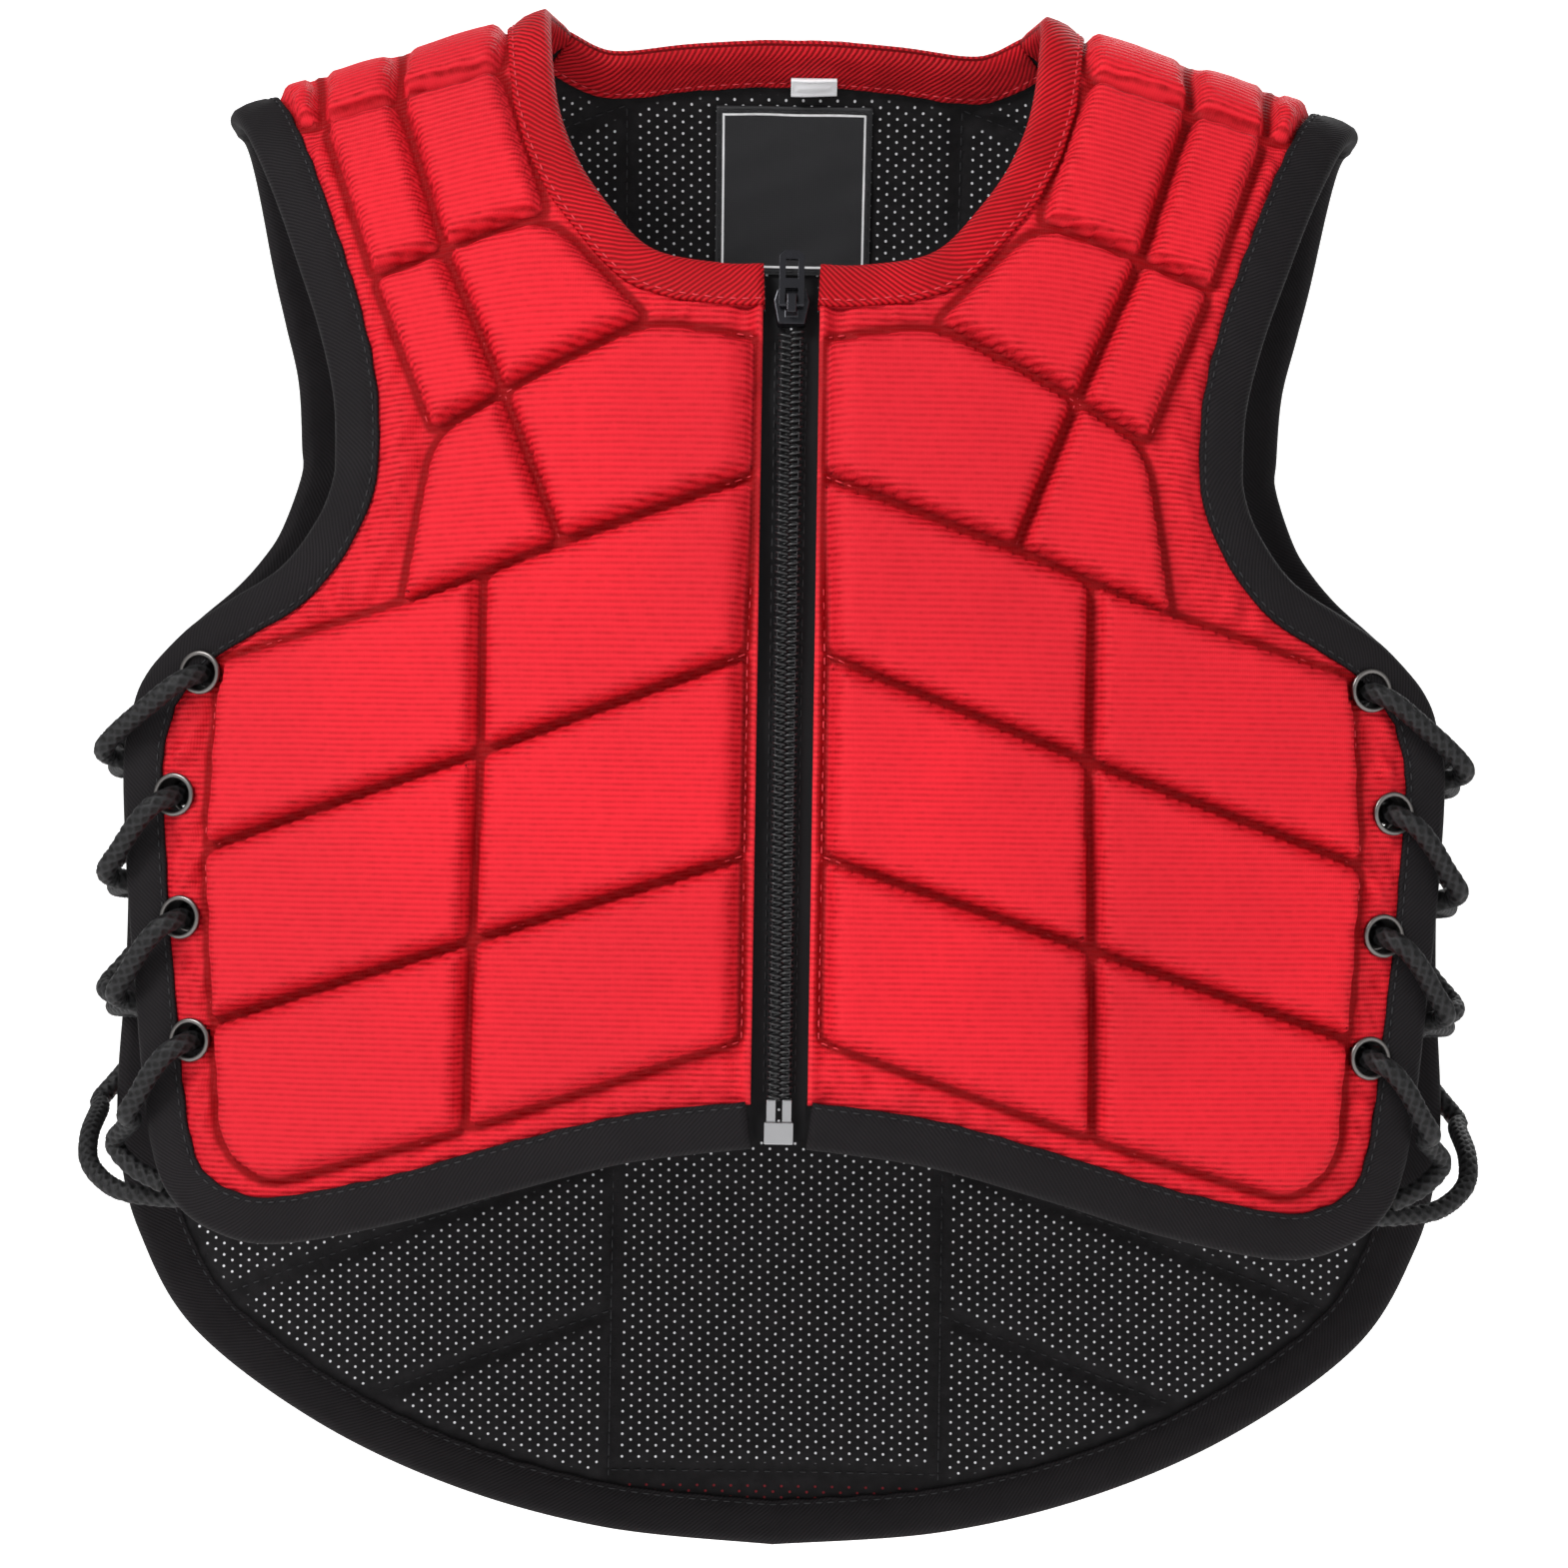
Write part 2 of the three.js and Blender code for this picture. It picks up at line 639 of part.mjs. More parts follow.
// A flat pattern solid folded onto the wall
function folded(flat) {
  const { vertProperties, triVerts, faceID, runIndex } = flat.simplify(SNAP).getMesh();
  const runOf = (face) => runIndex.findLastIndex((start) => start <= 3 * face);
  let mesh = { points: [], faces: [], owner: [...faceID].map((plane, face) => `${runOf(face)}/${plane}`) };
  for (let i = 0; i < vertProperties.length; i += 3) mesh.points.push([...vertProperties.slice(i, i + 3)]);
  for (let i = 0; i < triVerts.length; i += 3) mesh.faces.push([...triVerts.slice(i, i + 3)]);
  for (const value of FOLDS.across) mesh = splitAt(mesh, 0, value);
  for (const value of FOLDS.along) mesh = splitAt(mesh, 1, value);
  mesh = tidied(mesh);
  const geometry = new THREE.BufferGeometry();
  const positions = mesh.points.flatMap(([s, w, height]) => bend(s, w, height).toArray());
  geometry.setAttribute('position', new THREE.Float32BufferAttribute(positions, 3));
  geometry.setIndex(mesh.faces.flat());
  return geometry;
}

function add(name, geometry, colour) {
  const ready = geometry.index ? geometry.toNonIndexed() : geometry;
  ready.computeVertexNormals();
  const mesh = new THREE.Mesh(ready, new THREE.MeshStandardMaterial(COLOURS[colour]));
  mesh.name = name;
  group.add(mesh);
  return mesh;
}

// The other side of a flat pattern
function mirrored(flat) {
  const { vertProperties, triVerts } = flat.getMesh();
  const positions = vertProperties.map((value, i) => (i % 3 === 0 ? -value : value));
  const turned = triVerts.map((value, i) => triVerts[i - (i % 3) + [0, 2, 1][i % 3]]);
  return new wasm.Manifold(new wasm.Mesh({ numProp: 3, vertProperties: positions, triVerts: turned }));
}

const OUTLINE_STEP = 24;
const STRAP_EDGE = NECK_HALF + STRAP_WIDTH;
const SEAM_INSET = 0.5;          // the strap is that much narrower at its seam
const THROUGH = 20;              // reach of a cutter on both sides of the wall

function armhole(upper, lower, chest, side, sign) {
  return [
    ...upper.map(({ down, inward }) => [mix(STRAP_EDGE, chest, inward), sign * down * ARM_DROP]),
    ...lower.map(({ down, inward }) => [mix(side, chest, inward), sign * down * ARM_DROP]),
  ];
}

function otherSide(points) {
  return points.map(([s, w]) => [-s, w]).reverse();
}

// Edges of the front's half on +X, each with the cloth on its left: neck from the seam to the zip, and
// hem, side and armhole from the zip to the seam
const frontNeck = FRONT_NECK.map(({ across, down }) => [across * NECK_HALF, -down * FRONT_NECK_DROP]);
const neckSeam = [BACK_NECK[0].across * NECK_HALF, SEAM_BACK];
const neckEdge = smooth([neckSeam, ...frontNeck, [ZIP_EDGE, -FRONT_NECK_DROP]], OUTLINE_STEP);
const frontArm = armhole(FRONT_ARM_UPPER, FRONT_ARM_LOWER, FRONT_CHEST_HALF, FRONT_SIDE, -1);
const frontHem = FRONT_EDGE.map(({ across, down, dip }) => (
  [Math.max(across * FRONT_SIDE, ZIP_EDGE), -down * FRONT_DROP - dip * HEM_DIP]
));
const frontEdge = smooth([[STRAP_EDGE - SEAM_INSET, SEAM_BACK], ...frontArm, ...frontHem], OUTLINE_STEP).reverse();

// Edges of the back: the neck from -X to +X, then armhole, side, tail, side and armhole
const BACK_TOP = SEAM_BACK + GAP;
const backNeckHalf = smooth([
  [neckSeam[0], BACK_TOP],
  ...BACK_NECK.slice(1).map(({ across, down }) => [across * NECK_HALF, down * BACK_NECK_DROP]),
], OUTLINE_STEP);
const backArm = armhole(BACK_ARM_UPPER, BACK_ARM_LOWER, BACK_CHEST_HALF, BACK_SIDE, 1);
const backTail = BACK_EDGE.map(({ across, down }) => [across * BACK_SIDE, down * BACK_DROP]);
const backHalf = smooth([[STRAP_EDGE - SEAM_INSET, BACK_TOP], ...backArm.slice(1), ...backTail], OUTLINE_STEP);
const backNeckEdge = [...backNeckHalf.map(([s, w]) => [-s, w]), ...[...backNeckHalf].reverse().slice(1)];
const backEdge = [...backHalf, ...otherSide(backHalf).slice(1)];
const backOutline = [...backNeckEdge, ...backEdge];

// Pads of the front half
function strapPoint([across, down]) {
  return [NECK_HALF + across * STRAP_WIDTH, -down * ARM_DROP];
}

function trunkPoint([across, down]) {
  return [across * FRONT_SIDE, -down * FRONT_DROP];
}

function placed(lines, place) {
  return lines.map((line) => Object.fromEntries(Object.entries(line).map(([name, at]) => [name, place(at)])));
}

function frontPads() {
  const strap = placed(STRAP_LINES, strapPoint);
  const trunk = placed(TRUNK_LINES, trunkPoint);
  const pads = [[strap[0].outer, strap[0].rim, strap[1].rim, strap[1].outer]];
  for (let i = 0; i < strap.length - 1; i += 1) {
    const [top, foot] = [strap[i], strap[i + 1]];
    pads.push([top.inner, top.split, foot.split, foot.inner]);
    pads.push([top.split, top.outer, foot.outer, foot.split]);
  }
  const last = strap.at(-1);
  pads.push([last.inner, last.split, trunk[0].above, trunk[0].inner, trunkPoint(NECK_CORNER)]);
  pads.push([last.split, last.outer, trunkPoint(ARM_CORNER), trunk[0].above]);
  for (let i = 0; i < trunk.length - 1; i += 1) {
    const [top, foot] = [trunk[i], trunk[i + 1]];
    const corner = i === trunk.length - 2 ? [trunkPoint(HEM_CORNER)] : [];
    pads.push([top.inner, top.split, foot.above, foot.inner]);
    pads.push([top.split, top.outer, ...corner, foot.outer, foot.above]);
  }
  return pads;
}

// Pads of the back beside its middle column, on the +X side, and of the column
const COLUMN = BACK_COLUMN * BACK_SIDE;
function backPads() {
  const split = BACK_SPLIT * BACK_SIDE;
  const rim = 1.1 * BACK_SIDE;
  const at = (row, s) => [s, row * BACK_DROP + BACK_FALL * (s - COLUMN)];
  const pads = [];
  for (let i = 0; i < BACK_ROWS.length - 1; i += 1) {
    const [top, foot] = [BACK_ROWS[i], BACK_ROWS[i + 1]];
    if (i < BACK_ROWS.length - 2) {
      pads.push([at(foot, COLUMN), at(foot, split), at(top, split), at(top, COLUMN)]);
      pads.push([at(foot, split), at(foot, rim), at(top, rim), at(top, split)]);
    } else {
      pads.push([at(foot, COLUMN), at(foot, rim), at(top, rim), at(top, COLUMN)]);
    }
  }
  const low = BACK_ROWS.at(-1);
  pads.push([[COLUMN, BACK_DROP], [rim, BACK_DROP], at(low, rim), at(low, COLUMN)]);
  return pads;
}

function centrePads() {
  return CENTRE_ROWS.slice(1).map((row, i) => {
    const [top, foot] = [CENTRE_ROWS[i] * BACK_DROP, row * BACK_DROP];
    return [[-COLUMN, foot], [COLUMN, foot], [COLUMN, top], [-COLUMN, top]];
  });
}

function inset(points, distance) {
  const clockwise = THREE.ShapeUtils.isClockWise(points.map(([x, y]) => ({ x, y })));
  return aside(clockwise ? [...points].reverse() : points, distance, true);
}

// Pattern points of the eyelets, at the same heights on both walls
function edgeAt(outline, w) {
  let reach = 0;
  for (let i = 1; i < outline.length; i += 1) {
    const [a, b] = [outline[i - 1], outline[i]];
    const share = (w - a[1]) / (b[1] - a[1]);
    if (share >= 0 && share <= 1) reach = Math.max(reach, mix(a[0], b[0], share));
  }
  return reach;
}

function eyeletPlaces(outline, wall) {
  return Array.from({ length: EYELETS }, (_, i) => {
    const below = EYELET_TOP + i * EYELET_PITCH - WALLS.front.crest.length;
    const w = wall.side * (wall.crest.length + below);
    return [edgeAt(outline, w) - EYELET_INSET, w];
  });
}
const frontEyelets = eyeletPlaces(frontEdge, WALLS.front);
const backEyelets = eyeletPlaces(backHalf, WALLS.back);
const EYELET_HOLE = EYELET_BORE / 2 + EYELET_WALL + GAP + 0.1;
const EYELET_CLEAR = EYELET_FLANGE / 2 + 1;

function pierced(flat, places, radius) {
  return places.reduce(
    (body, [s, w]) => body.subtract(disc(s, w, radius, -THROUGH, THROUGH, EYELET_SIDES)),
    flat,
  );
}

const mirrorPlaces = (places) => places.map(([s, w]) => [-s, w]);

// Pads kept off the bound edges, the seam and the eyelets
function padField(pads, outline, low, bevel, bands, places) {
  const shapes = pads.map((points) => pad(inset(points, CHANNEL / 2), low, PAD_RISE, bevel));
  let field = wasm.Manifold.union(shapes).intersect(prism(outline, -THROUGH, THROUGH));
  for (const points of bands) field = field.subtract(prism(points, -THROUGH, THROUGH));
  return pierced(field, places, EYELET_CLEAR);
}

const SEAM_CLEAR = CHANNEL / 2;
const PAD_CLEAR = 1.2;           // pads stay that far from a binding
const PAD_FOOT = 0.1;            // the pads start inside the cloth
const FAR = 2 * BACK_DROP;
function region(left, from, to) {
  return [[left, from], [FAR, from], [FAR, to], [left, to]];
}
const FRONT_REGION = region(ZIP_EDGE, -FAR, SEAM_BACK);
const BACK_REGION = region(-FAR, BACK_TOP, FAR);

function frontPanel() {
  const outline = [...neckEdge, ...frontEdge];
  const bands = [
    band(longer(neckEdge, 8), NECK_COVER + PAD_CLEAR, 2),
    band(longer(frontEdge, 8), BIND_COVER + PAD_CLEAR, 2),
    region(0, SEAM_BACK - SEAM_CLEAR, FAR),
  ];
  const pads = padField(frontPads(), outline, -BASE_HALF + PAD_FOOT, PAD_BEVEL, bands, frontEyelets);
  return pierced(prism(outline, -BASE_HALF, BASE_HALF).add(pads), frontEyelets, EYELET_HOLE);
}

function backShell() {
  const bands = [
    band(longer(backNeckEdge, 8), NECK_COVER + PAD_CLEAR, 2),
    band(longer(backEdge, 8), BIND_COVER + PAD_CLEAR, 2),
    region(-FAR, -FAR, BACK_TOP + SEAM_CLEAR),
  ];
  const low = SHELL_LOW + PAD_FOOT;
  const side = padField(backPads(), backOutline, low, SHELL_BEVEL, bands, backEyelets);
  const middle = padField(centrePads(), backOutline, low, SHELL_BEVEL, bands, []);
  const whole = prism(backOutline, SHELL_LOW, BASE_HALF).add(side).add(mirrored(side)).add(middle);
  return pierced(whole, [...backEyelets, ...mirrorPlaces(backEyelets)], EYELET_HOLE);
}

function backLining() {
  const flat = prism(backOutline, -BASE_HALF, -SHELL_LOW);
  return pierced(flat, [...backEyelets, ...mirrorPlaces(backEyelets)], EYELET_HOLE);
}

const front = frontPanel();
add('front_shell_right', folded(front), 'red');
add('front_shell_left', folded(mirrored(front)), 'red');
add('back_shell', folded(backShell()), 'red');
add('back_lining', folded(backLining()), 'lining');

const frontBinding = pierced(binding(frontEdge, BIND_COVER, FRONT_REGION), frontEyelets, EYELET_HOLE);
add('front_binding_right', folded(frontBinding), 'binding');
add('front_binding_left', folded(mirrored(frontBinding)), 'binding');
const backBinding = pierced(
  binding(backEdge, BIND_COVER, BACK_REGION),
  [...backEyelets, ...mirrorPlaces(backEyelets)],
  EYELET_HOLE,
);
add('back_binding', folded(backBinding), 'binding');
const neckBinding = binding(neckEdge, NECK_COVER, FRONT_REGION);
add('neck_binding_front_right', folded(neckBinding), 'neck');
add('neck_binding_front_left', folded(mirrored(neckBinding)), 'neck');
add('neck_binding_back', folded(binding(backNeckEdge, NECK_COVER, BACK_REGION)), 'neck');

// Matrix of the folded wall at a pattern point: x round the wall, y along it, z outward
function placeAt(s, w, height = 0) {
  const near = 0.6;
  const origin = bend(s, w, height);
  const normal = bend(s, w, height + 1).sub(origin).normalize();
  const round = bend(s + near, w, height).sub(bend(s - near, w, height));
  const along = normal.clone().cross(round).normalize();
  round.crossVectors(along, normal);
  return new THREE.Matrix4().makeBasis(round, along, normal).setPosition(origin);
}

function block(width, length, height, y = 0, z = 0) {
  return solid(new THREE.BoxGeometry(width, length, height).translate(0, y, z));
}

function toGeometry(manifold) {
  const { vertProperties, triVerts } = manifold.getMesh();
  const geometry = new THREE.BufferGeometry();
  geometry.setAttribute('position', new THREE.Float32BufferAttribute(vertProperties, 3));
  geometry.setIndex([...triVerts]);
  return geometry;
}

// Zip
const bindingFoot = FRONT_DROP - BIND_COVER - GAP;
const neckFoot = FRONT_NECK_DROP + NECK_COVER + GAP;
const tape = prism([
  [TAPE_START, 1 - FRONT_DROP], [TAPE_NECK, 1 - FRONT_DROP], [TAPE_NECK, -bindingFoot], [TAPE_REACH, -bindingFoot],
  [TAPE_REACH, -neckFoot - GAP], [TAPE_NECK, -neckFoot - GAP], [TAPE_NECK, -TAPE_TOP], [TAPE_START, -TAPE_TOP],
], -BASE_HALF - GAP - TAPE_WALL, -BASE_HALF - GAP);
add('zip_tape_right', folded(tape), 'tape');
add('zip_tape_left', folded(mirrored(tape)), 'tape');

function centred(width, low, high) {
  return [[-width / 2, low], [width / 2, low], [width / 2, high], [-width / 2, high]];
}
const chainTop = -(SLIDER_DROP + SLIDER_LENGTH / 2 + GAP);
const stopTop = -(FRONT_DROP - STOP_LENGTH - PIN_LENGTH);
add('zip_chain', folded(prism(centred(CHAIN_WIDTH, stopTop + GAP, chainTop), CHAIN_LOW, CHAIN_HIGH)), 'coil');

const pinSpread = (STOP_WIDTH - PIN_WIDTH) / 2 - 0.5;
const pins = [-1, 1].map((side) => (
  block(PIN_WIDTH, PIN_LENGTH, PIN_WIDTH, STOP_LENGTH / 2 + PIN_LENGTH / 2).translate([side * pinSpread, 0, 0])
));
const box = block(STOP_WIDTH, STOP_LENGTH, STOP_HIGH - STOP_LOW, 0, (STOP_HIGH + STOP_LOW) / 2);
const stop = toGeometry(wasm.Manifold.union([box, ...pins]));
add('zip_bottom_stop', stop.applyMatrix4(placeAt(0, STOP_LENGTH / 2 - FRONT_DROP)), 'silver');

const shoulder = SLIDER_LENGTH / 6;
const plate = prism([
  [-SLIDER_FOOT / 2, -SLIDER_LENGTH / 2], [SLIDER_FOOT / 2, -SLIDER_LENGTH / 2], [SLIDER_WIDTH / 2, shoulder],
  [SLIDER_WIDTH / 2 - 0.8, SLIDER_LENGTH / 2], [0.8 - SLIDER_WIDTH / 2, SLIDER_LENGTH / 2], [-SLIDER_WIDTH / 2, shoulder],
], SLIDER_LOW, SLIDER_HIGH);
const lugFoot = 0.2;
const lug = block(LUG_WIDTH, LUG_LENGTH, LUG_RISE + lugFoot, 0, SLIDER_HIGH + (LUG_RISE - lugFoot) / 2);
const eyeHeight = LUG_RISE - LUG_WALL;
const eye = block(2 * LUG_WIDTH, LUG_LENGTH - 2 * LUG_WALL, eyeHeight, 0, SLIDER_HIGH + eyeHeight / 2);
const sliderPlace = placeAt(0, -SLIDER_DROP);
add('zip_slider', toGeometry(plate.add(lug.subtract(eye))).applyMatrix4(sliderPlace), 'black_metal');

// Pull, its foot a round bar through the slider's lug
const corner = PULL_WIDTH / 5;
const pullBlank = prism([
  [-PULL_WIDTH / 2, 0], [PULL_WIDTH / 2, 0], [PULL_WIDTH / 2, PULL_LENGTH - corner],
  [PULL_WIDTH / 2 - corner, PULL_LENGTH], [corner - PULL_WIDTH / 2, PULL_LENGTH], [-PULL_WIDTH / 2, PULL_LENGTH - corner],
], -PULL_WALL / 2, PULL_WALL / 2);
const lugWindow = block(LUG_WIDTH + 0.8, 0.6 * PULL_LENGTH, 2 * PULL_WALL);
const gripWindow = block(PULL_WIDTH / 2, 0.36 * PULL_LENGTH, 2 * PULL_WALL, 0.66 * PULL_LENGTH);
const bar = solid(new THREE.CylinderGeometry(PULL_WALL / 2, PULL_WALL / 2, PULL_WIDTH, 8).rotateZ(Math.PI / 2));
const pull = toGeometry(pullBlank.subtract(lugWindow).subtract(gripWindow).add(bar));
const pullPlace = placeAt(0, -SLIDER_DROP, SLIDER_HIGH + PULL_RISE);
add('zip_pull', pull.applyMatrix4(pullPlace), 'black_metal');

// Eyelets
const eyeletHigh = BASE_HALF + BIND_GAP + BIND_WALL + GAP;
const eyeletSection = [
  [EYELET_BORE / 2, EYELET_FOOT],
  [EYELET_BORE / 2 + EYELET_WALL, EYELET_FOOT],
  [EYELET_BORE / 2 + EYELET_WALL, eyeletHigh],
  [EYELET_FLANGE / 2, eyeletHigh],
  [EYELET_FLANGE / 2, eyeletHigh + EYELET_RIM],
  [EYELET_BORE / 2, eyeletHigh + EYELET_RIM],
  [EYELET_BORE / 2, EYELET_FOOT],
].map(([x, y]) => new THREE.Vector2(x, y));
const ring = solid(new THREE.LatheGeometry(eyeletSection, EYELET_SIDES).rotateX(Math.PI / 2));
for (const [wallName, places] of [['front', frontEyelets], ['back', backEyelets]]) {
  for (const [side, sign] of [['right', 1], ['left', -1]]) {
    places.forEach(([s, w], i) => {
      const geometry = toGeometry(ring).applyMatrix4(placeAt(sign * s, w));
      add(`eyelet_${wallName}_${side}_${i + 1}`, geometry, 'gunmetal');
    });
  }
}

// Laces
const LACE_WALLS = [
  { wall: WALLS.front, outline: frontEdge, places: frontEyelets, cross: CROSS_OUT.front, end: FRONT_END },
  { wall: WALLS.back, outline: backHalf, places: backEyelets, cross: CROSS_OUT.back, end: BACK_END },
];

function lacePoint({ wall, outline, places }, i, { out, high, down }) {
  const [s, w] = places[i];
  const level = w + wall.side * down;
  const shift = edgeAt(outline, level) - EYELET_INSET - s;
  return bend(s + out + shift * Math.min(out / EYELET_INSET, 1), level, high);
}

// From one eyelet to the next lower one on the other wall, ending inside that one
function strand(from, to, i) {
  const out = LACE_OUT.map((row) => lacePoint(from, i, row));
  const inside = LACE_IN.map((row) => lacePoint(to, i + 1, row));
  const cross = out.at(-1).clone().lerp(inside[0], 0.5).setX(from.cross).setY(0);
  return [...out, cross, ...inside];
}

function laceHalf(first) {
  const points = LACE_BAR.map((row) => lacePoint(LACE_WALLS[first], 0, row)).reverse();
  for (let i = 0; i < EYELETS - 1; i += 1) {
    const from = (first + i) % 2;
    points.push(...strand(LACE_WALLS[from], LACE_WALLS[1 - from], i));
  }
  const last = LACE_WALLS[(first + EYELETS - 1) % 2];
  points.push(...LACE_OUT.slice(0, -1).map((row) => lacePoint(last, EYELETS - 1, row)));
  const { z } = lacePoint(last, EYELETS - 1, LACE_OUT[0]);
  return [...points, ...last.end.map((row) => new THREE.Vector3(row.x, row.y, z + row.z))];
}

// A round cord along a list of points, closed at both ends
function cord(points, radius, sides) {
  const directions = points.map((point, i) => {
    const before = points[Math.max(i - 1, 0)];
    const after = points[Math.min(i + 1, points.length - 1)];
    return after.clone().sub(before).normalize();
  });
  const positions = [];
  let across = new THREE.Vector3(0, 0, 1);
  points.forEach((point, i) => {
    across = across.clone().projectOnPlane(directions[i]).normalize();
    const up = directions[i].clone().cross(across);
    for (let k = 0; k < sides; k += 1) {
      const turn = (2 * Math.PI * k) / sides;
      const ringPoint = point.clone().addScaledVector(across, radius * Math.cos(turn));
      positions.push(...ringPoint.addScaledVector(up, radius * Math.sin(turn)).toArray());
    }
  });
  const index = [];
  for (let i = 0; i < points.length - 1; i += 1) {
    for (let k = 0; k < sides; k += 1) {
      const [a, b] = [i * sides + k, i * sides + ((k + 1) % sides)];
      index.push(a, b, a + sides, b, b + sides, a + sides);
    }
  }
  const last = (points.length - 1) * sides;
  for (let k = 1; k < sides - 1; k += 1) {
    index.push(0, k + 1, k);
    index.push(last, last + k, last + k + 1);
  }
  const geometry = new THREE.BufferGeometry();
  geometry.setAttribute('position', new THREE.Float32BufferAttribute(positions, 3));
  geometry.setIndex(index);
  return geometry;
}

const laceRight = [...laceHalf(0).reverse(), ...laceHalf(1)];
const laceLeft = laceRight.map((point) => point.clone().multiply(new THREE.Vector3(-1, 1, 1)));
add('lace_right', cord(laceRight, LACE / 2, LACE_SIDES), 'cord');
add('lace_left', cord(laceLeft, LACE / 2, LACE_SIDES), 'cord');

// Label inside the back and a folded tag under its neck binding
const labelHigh = -BASE_HALF - GAP;
const labelShape = centred(LABEL_WIDTH, LABEL_TOP, LABEL_TOP + LABEL_LENGTH);
add('label_patch', folded(prism(labelShape, labelHigh - LABEL_WALL, labelHigh)), 'label');
const tagHigh = -BASE_HALF - BIND_GAP - BIND_WALL - GAP;
const tagShape = centred(TAG_WIDTH, TAG_TOP, TAG_TOP + TAG_LENGTH).map(([s, w]) => [s + TAG_MIDDLE, w]);
add('neck_tag', folded(prism(tagShape, tagHigh - TAG_WALL, tagHigh)), 'tag');

export default group;
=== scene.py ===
"""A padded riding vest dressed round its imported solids: foam blocks, bindings, zip, eyelets and laces."""
import math

import bpy
import numpy as np
from mathutils import Matrix, Vector


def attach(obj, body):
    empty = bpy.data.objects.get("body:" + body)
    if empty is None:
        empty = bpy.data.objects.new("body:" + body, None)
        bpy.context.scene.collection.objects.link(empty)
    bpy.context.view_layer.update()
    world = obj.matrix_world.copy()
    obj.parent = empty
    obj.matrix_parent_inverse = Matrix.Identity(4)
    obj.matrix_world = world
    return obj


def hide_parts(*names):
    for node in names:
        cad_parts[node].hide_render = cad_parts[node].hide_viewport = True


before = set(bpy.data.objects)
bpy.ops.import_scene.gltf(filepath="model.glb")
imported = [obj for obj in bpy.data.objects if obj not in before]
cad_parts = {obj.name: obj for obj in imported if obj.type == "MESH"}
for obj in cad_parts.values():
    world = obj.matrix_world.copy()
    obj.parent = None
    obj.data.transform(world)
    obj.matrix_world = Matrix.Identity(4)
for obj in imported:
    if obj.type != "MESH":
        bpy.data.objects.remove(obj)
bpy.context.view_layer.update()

MM = 0.001
BODY = "vest"

# Trunk form and pattern sizes, in millimetres, shares and powers, as in the part
# Only CHANNEL is narrower than the part's 3.8, because the puffed cloth closes the seams a little
HALF_WIDTH = 172.0
FRONT_DEPTH = 62.0
BACK_DEPTH = 62.0
FRONT_SAG = 35.0
BACK_SAG = 36.0
SHOULDER_DROP = 154.5
CREST_SEAT = 4.5
STRAP_MIDDLE = 98.0
SHOULDER_FALL = 0.31
FRONT_TUCK = 0.04
BACK_TUCK = 0.12
TUCK_LENGTH = 230.0
FRONT_CREST_POWER = 2.0
BACK_CREST_POWER = 2.3
NECK_HALF = 64.0
STRAP_WIDTH = 82.0
FRONT_NECK_DROP = 76.5
BACK_NECK_DROP = 15.0
FRONT_CHEST_HALF = 113.0
BACK_CHEST_HALF = 129.0
ARM_DROP = 165.0
FRONT_SIDE = 169.0
BACK_SIDE = 176.0
FRONT_DROP = 287.2
HEM_DIP = 26.8
BACK_DROP = 402.4
SEAM_BACK = 12.0
GAP = 0.3
BASE_HALF = 1.5
PAD_RISE = 7.5
CHANNEL = 3.0
BIND_COVER = 10.6
NECK_COVER = 9.2
PAD_CLEAR = 1.2
ZIP_EDGE = 7.0
EYELET_INSET = 14.2
EYELET_TOP = 173.0
EYELET_PITCH = 30.6
EYELETS = 4
STRAP_EDGE = NECK_HALF + STRAP_WIDTH
SEAM_INSET = 0.5
BACK_TOP = SEAM_BACK + GAP

# The neck's edge stands up a little where it crosses the shoulders
COLLAR_LIFT = 4.0
COLLAR_OUT = 76.0
COLLAR_WIDTH = 14.0
COLLAR_LENGTH = 24.0

# Edge curves as (share of ARM_DROP down, share of the way in from the strap's or side's edge)
FRONT_ARM_UPPER = [(0, 0), (0.13, 0.22), (0.255, 0.44), (0.376, 0.64), (0.5, 0.84), (0.61, 0.97), (0.7, 1)]
FRONT_ARM_LOWER = [
    (0.75, 0.99), (0.81, 0.92), (0.884, 0.75), (0.942, 0.47),
    (0.985, 0.29), (1.058, 0.1), (1.115, 0.035), (1.19, 0),
]
BACK_ARM_UPPER = [(0, 0), (0.13, 0.2), (0.345, 0.52), (0.455, 0.73), (0.56, 0.94), (0.67, 1)]
BACK_ARM_LOWER = [
    (0.72, 1), (0.812, 0.89), (0.863, 0.78), (0.913, 0.63),
    (0.965, 0.43), (1.012, 0.27), (1.08, 0.14), (1.15, 0.07),
]
# Neck curves as (share of NECK_HALF across, share of the neck's drop)
FRONT_NECK = [(1, 0), (0.967, 0.385), (0.878, 0.625), (0.733, 0.81), (0.553, 0.955), (0.281, 1)]
BACK_NECK = [(0.93, 0.8), (0.81, 1.17), (0.69, 1.25), (0.43, 1.1), (0.14, 1), (0, 1)]
# Front side and hem as (share of FRONT_SIDE across, of FRONT_DROP down, of HEM_DIP lower)
FRONT_EDGE = [
    (0.991, 0.784, 0), (0.973, 0.89, 0), (0.959, 0.965, 0), (0.943, 1, 0.2), (0.915, 1, 0.6),
    (0.855, 1, 0.88), (0.755, 1, 1), (0.574, 1, 0.78), (0.396, 1, 0.45), (0.219, 1, 0.15), (0.03, 1, 0),
]
# Back side and tail as (share of BACK_SIDE across, of BACK_DROP down)
BACK_EDGE = [
    (0.988, 0.52), (0.99, 0.62), (1, 0.7), (0.995, 0.745), (0.965, 0.795),
    (0.88, 0.858), (0.694, 0.919), (0.48, 0.963), (0.25, 0.99), (0, 1),
]
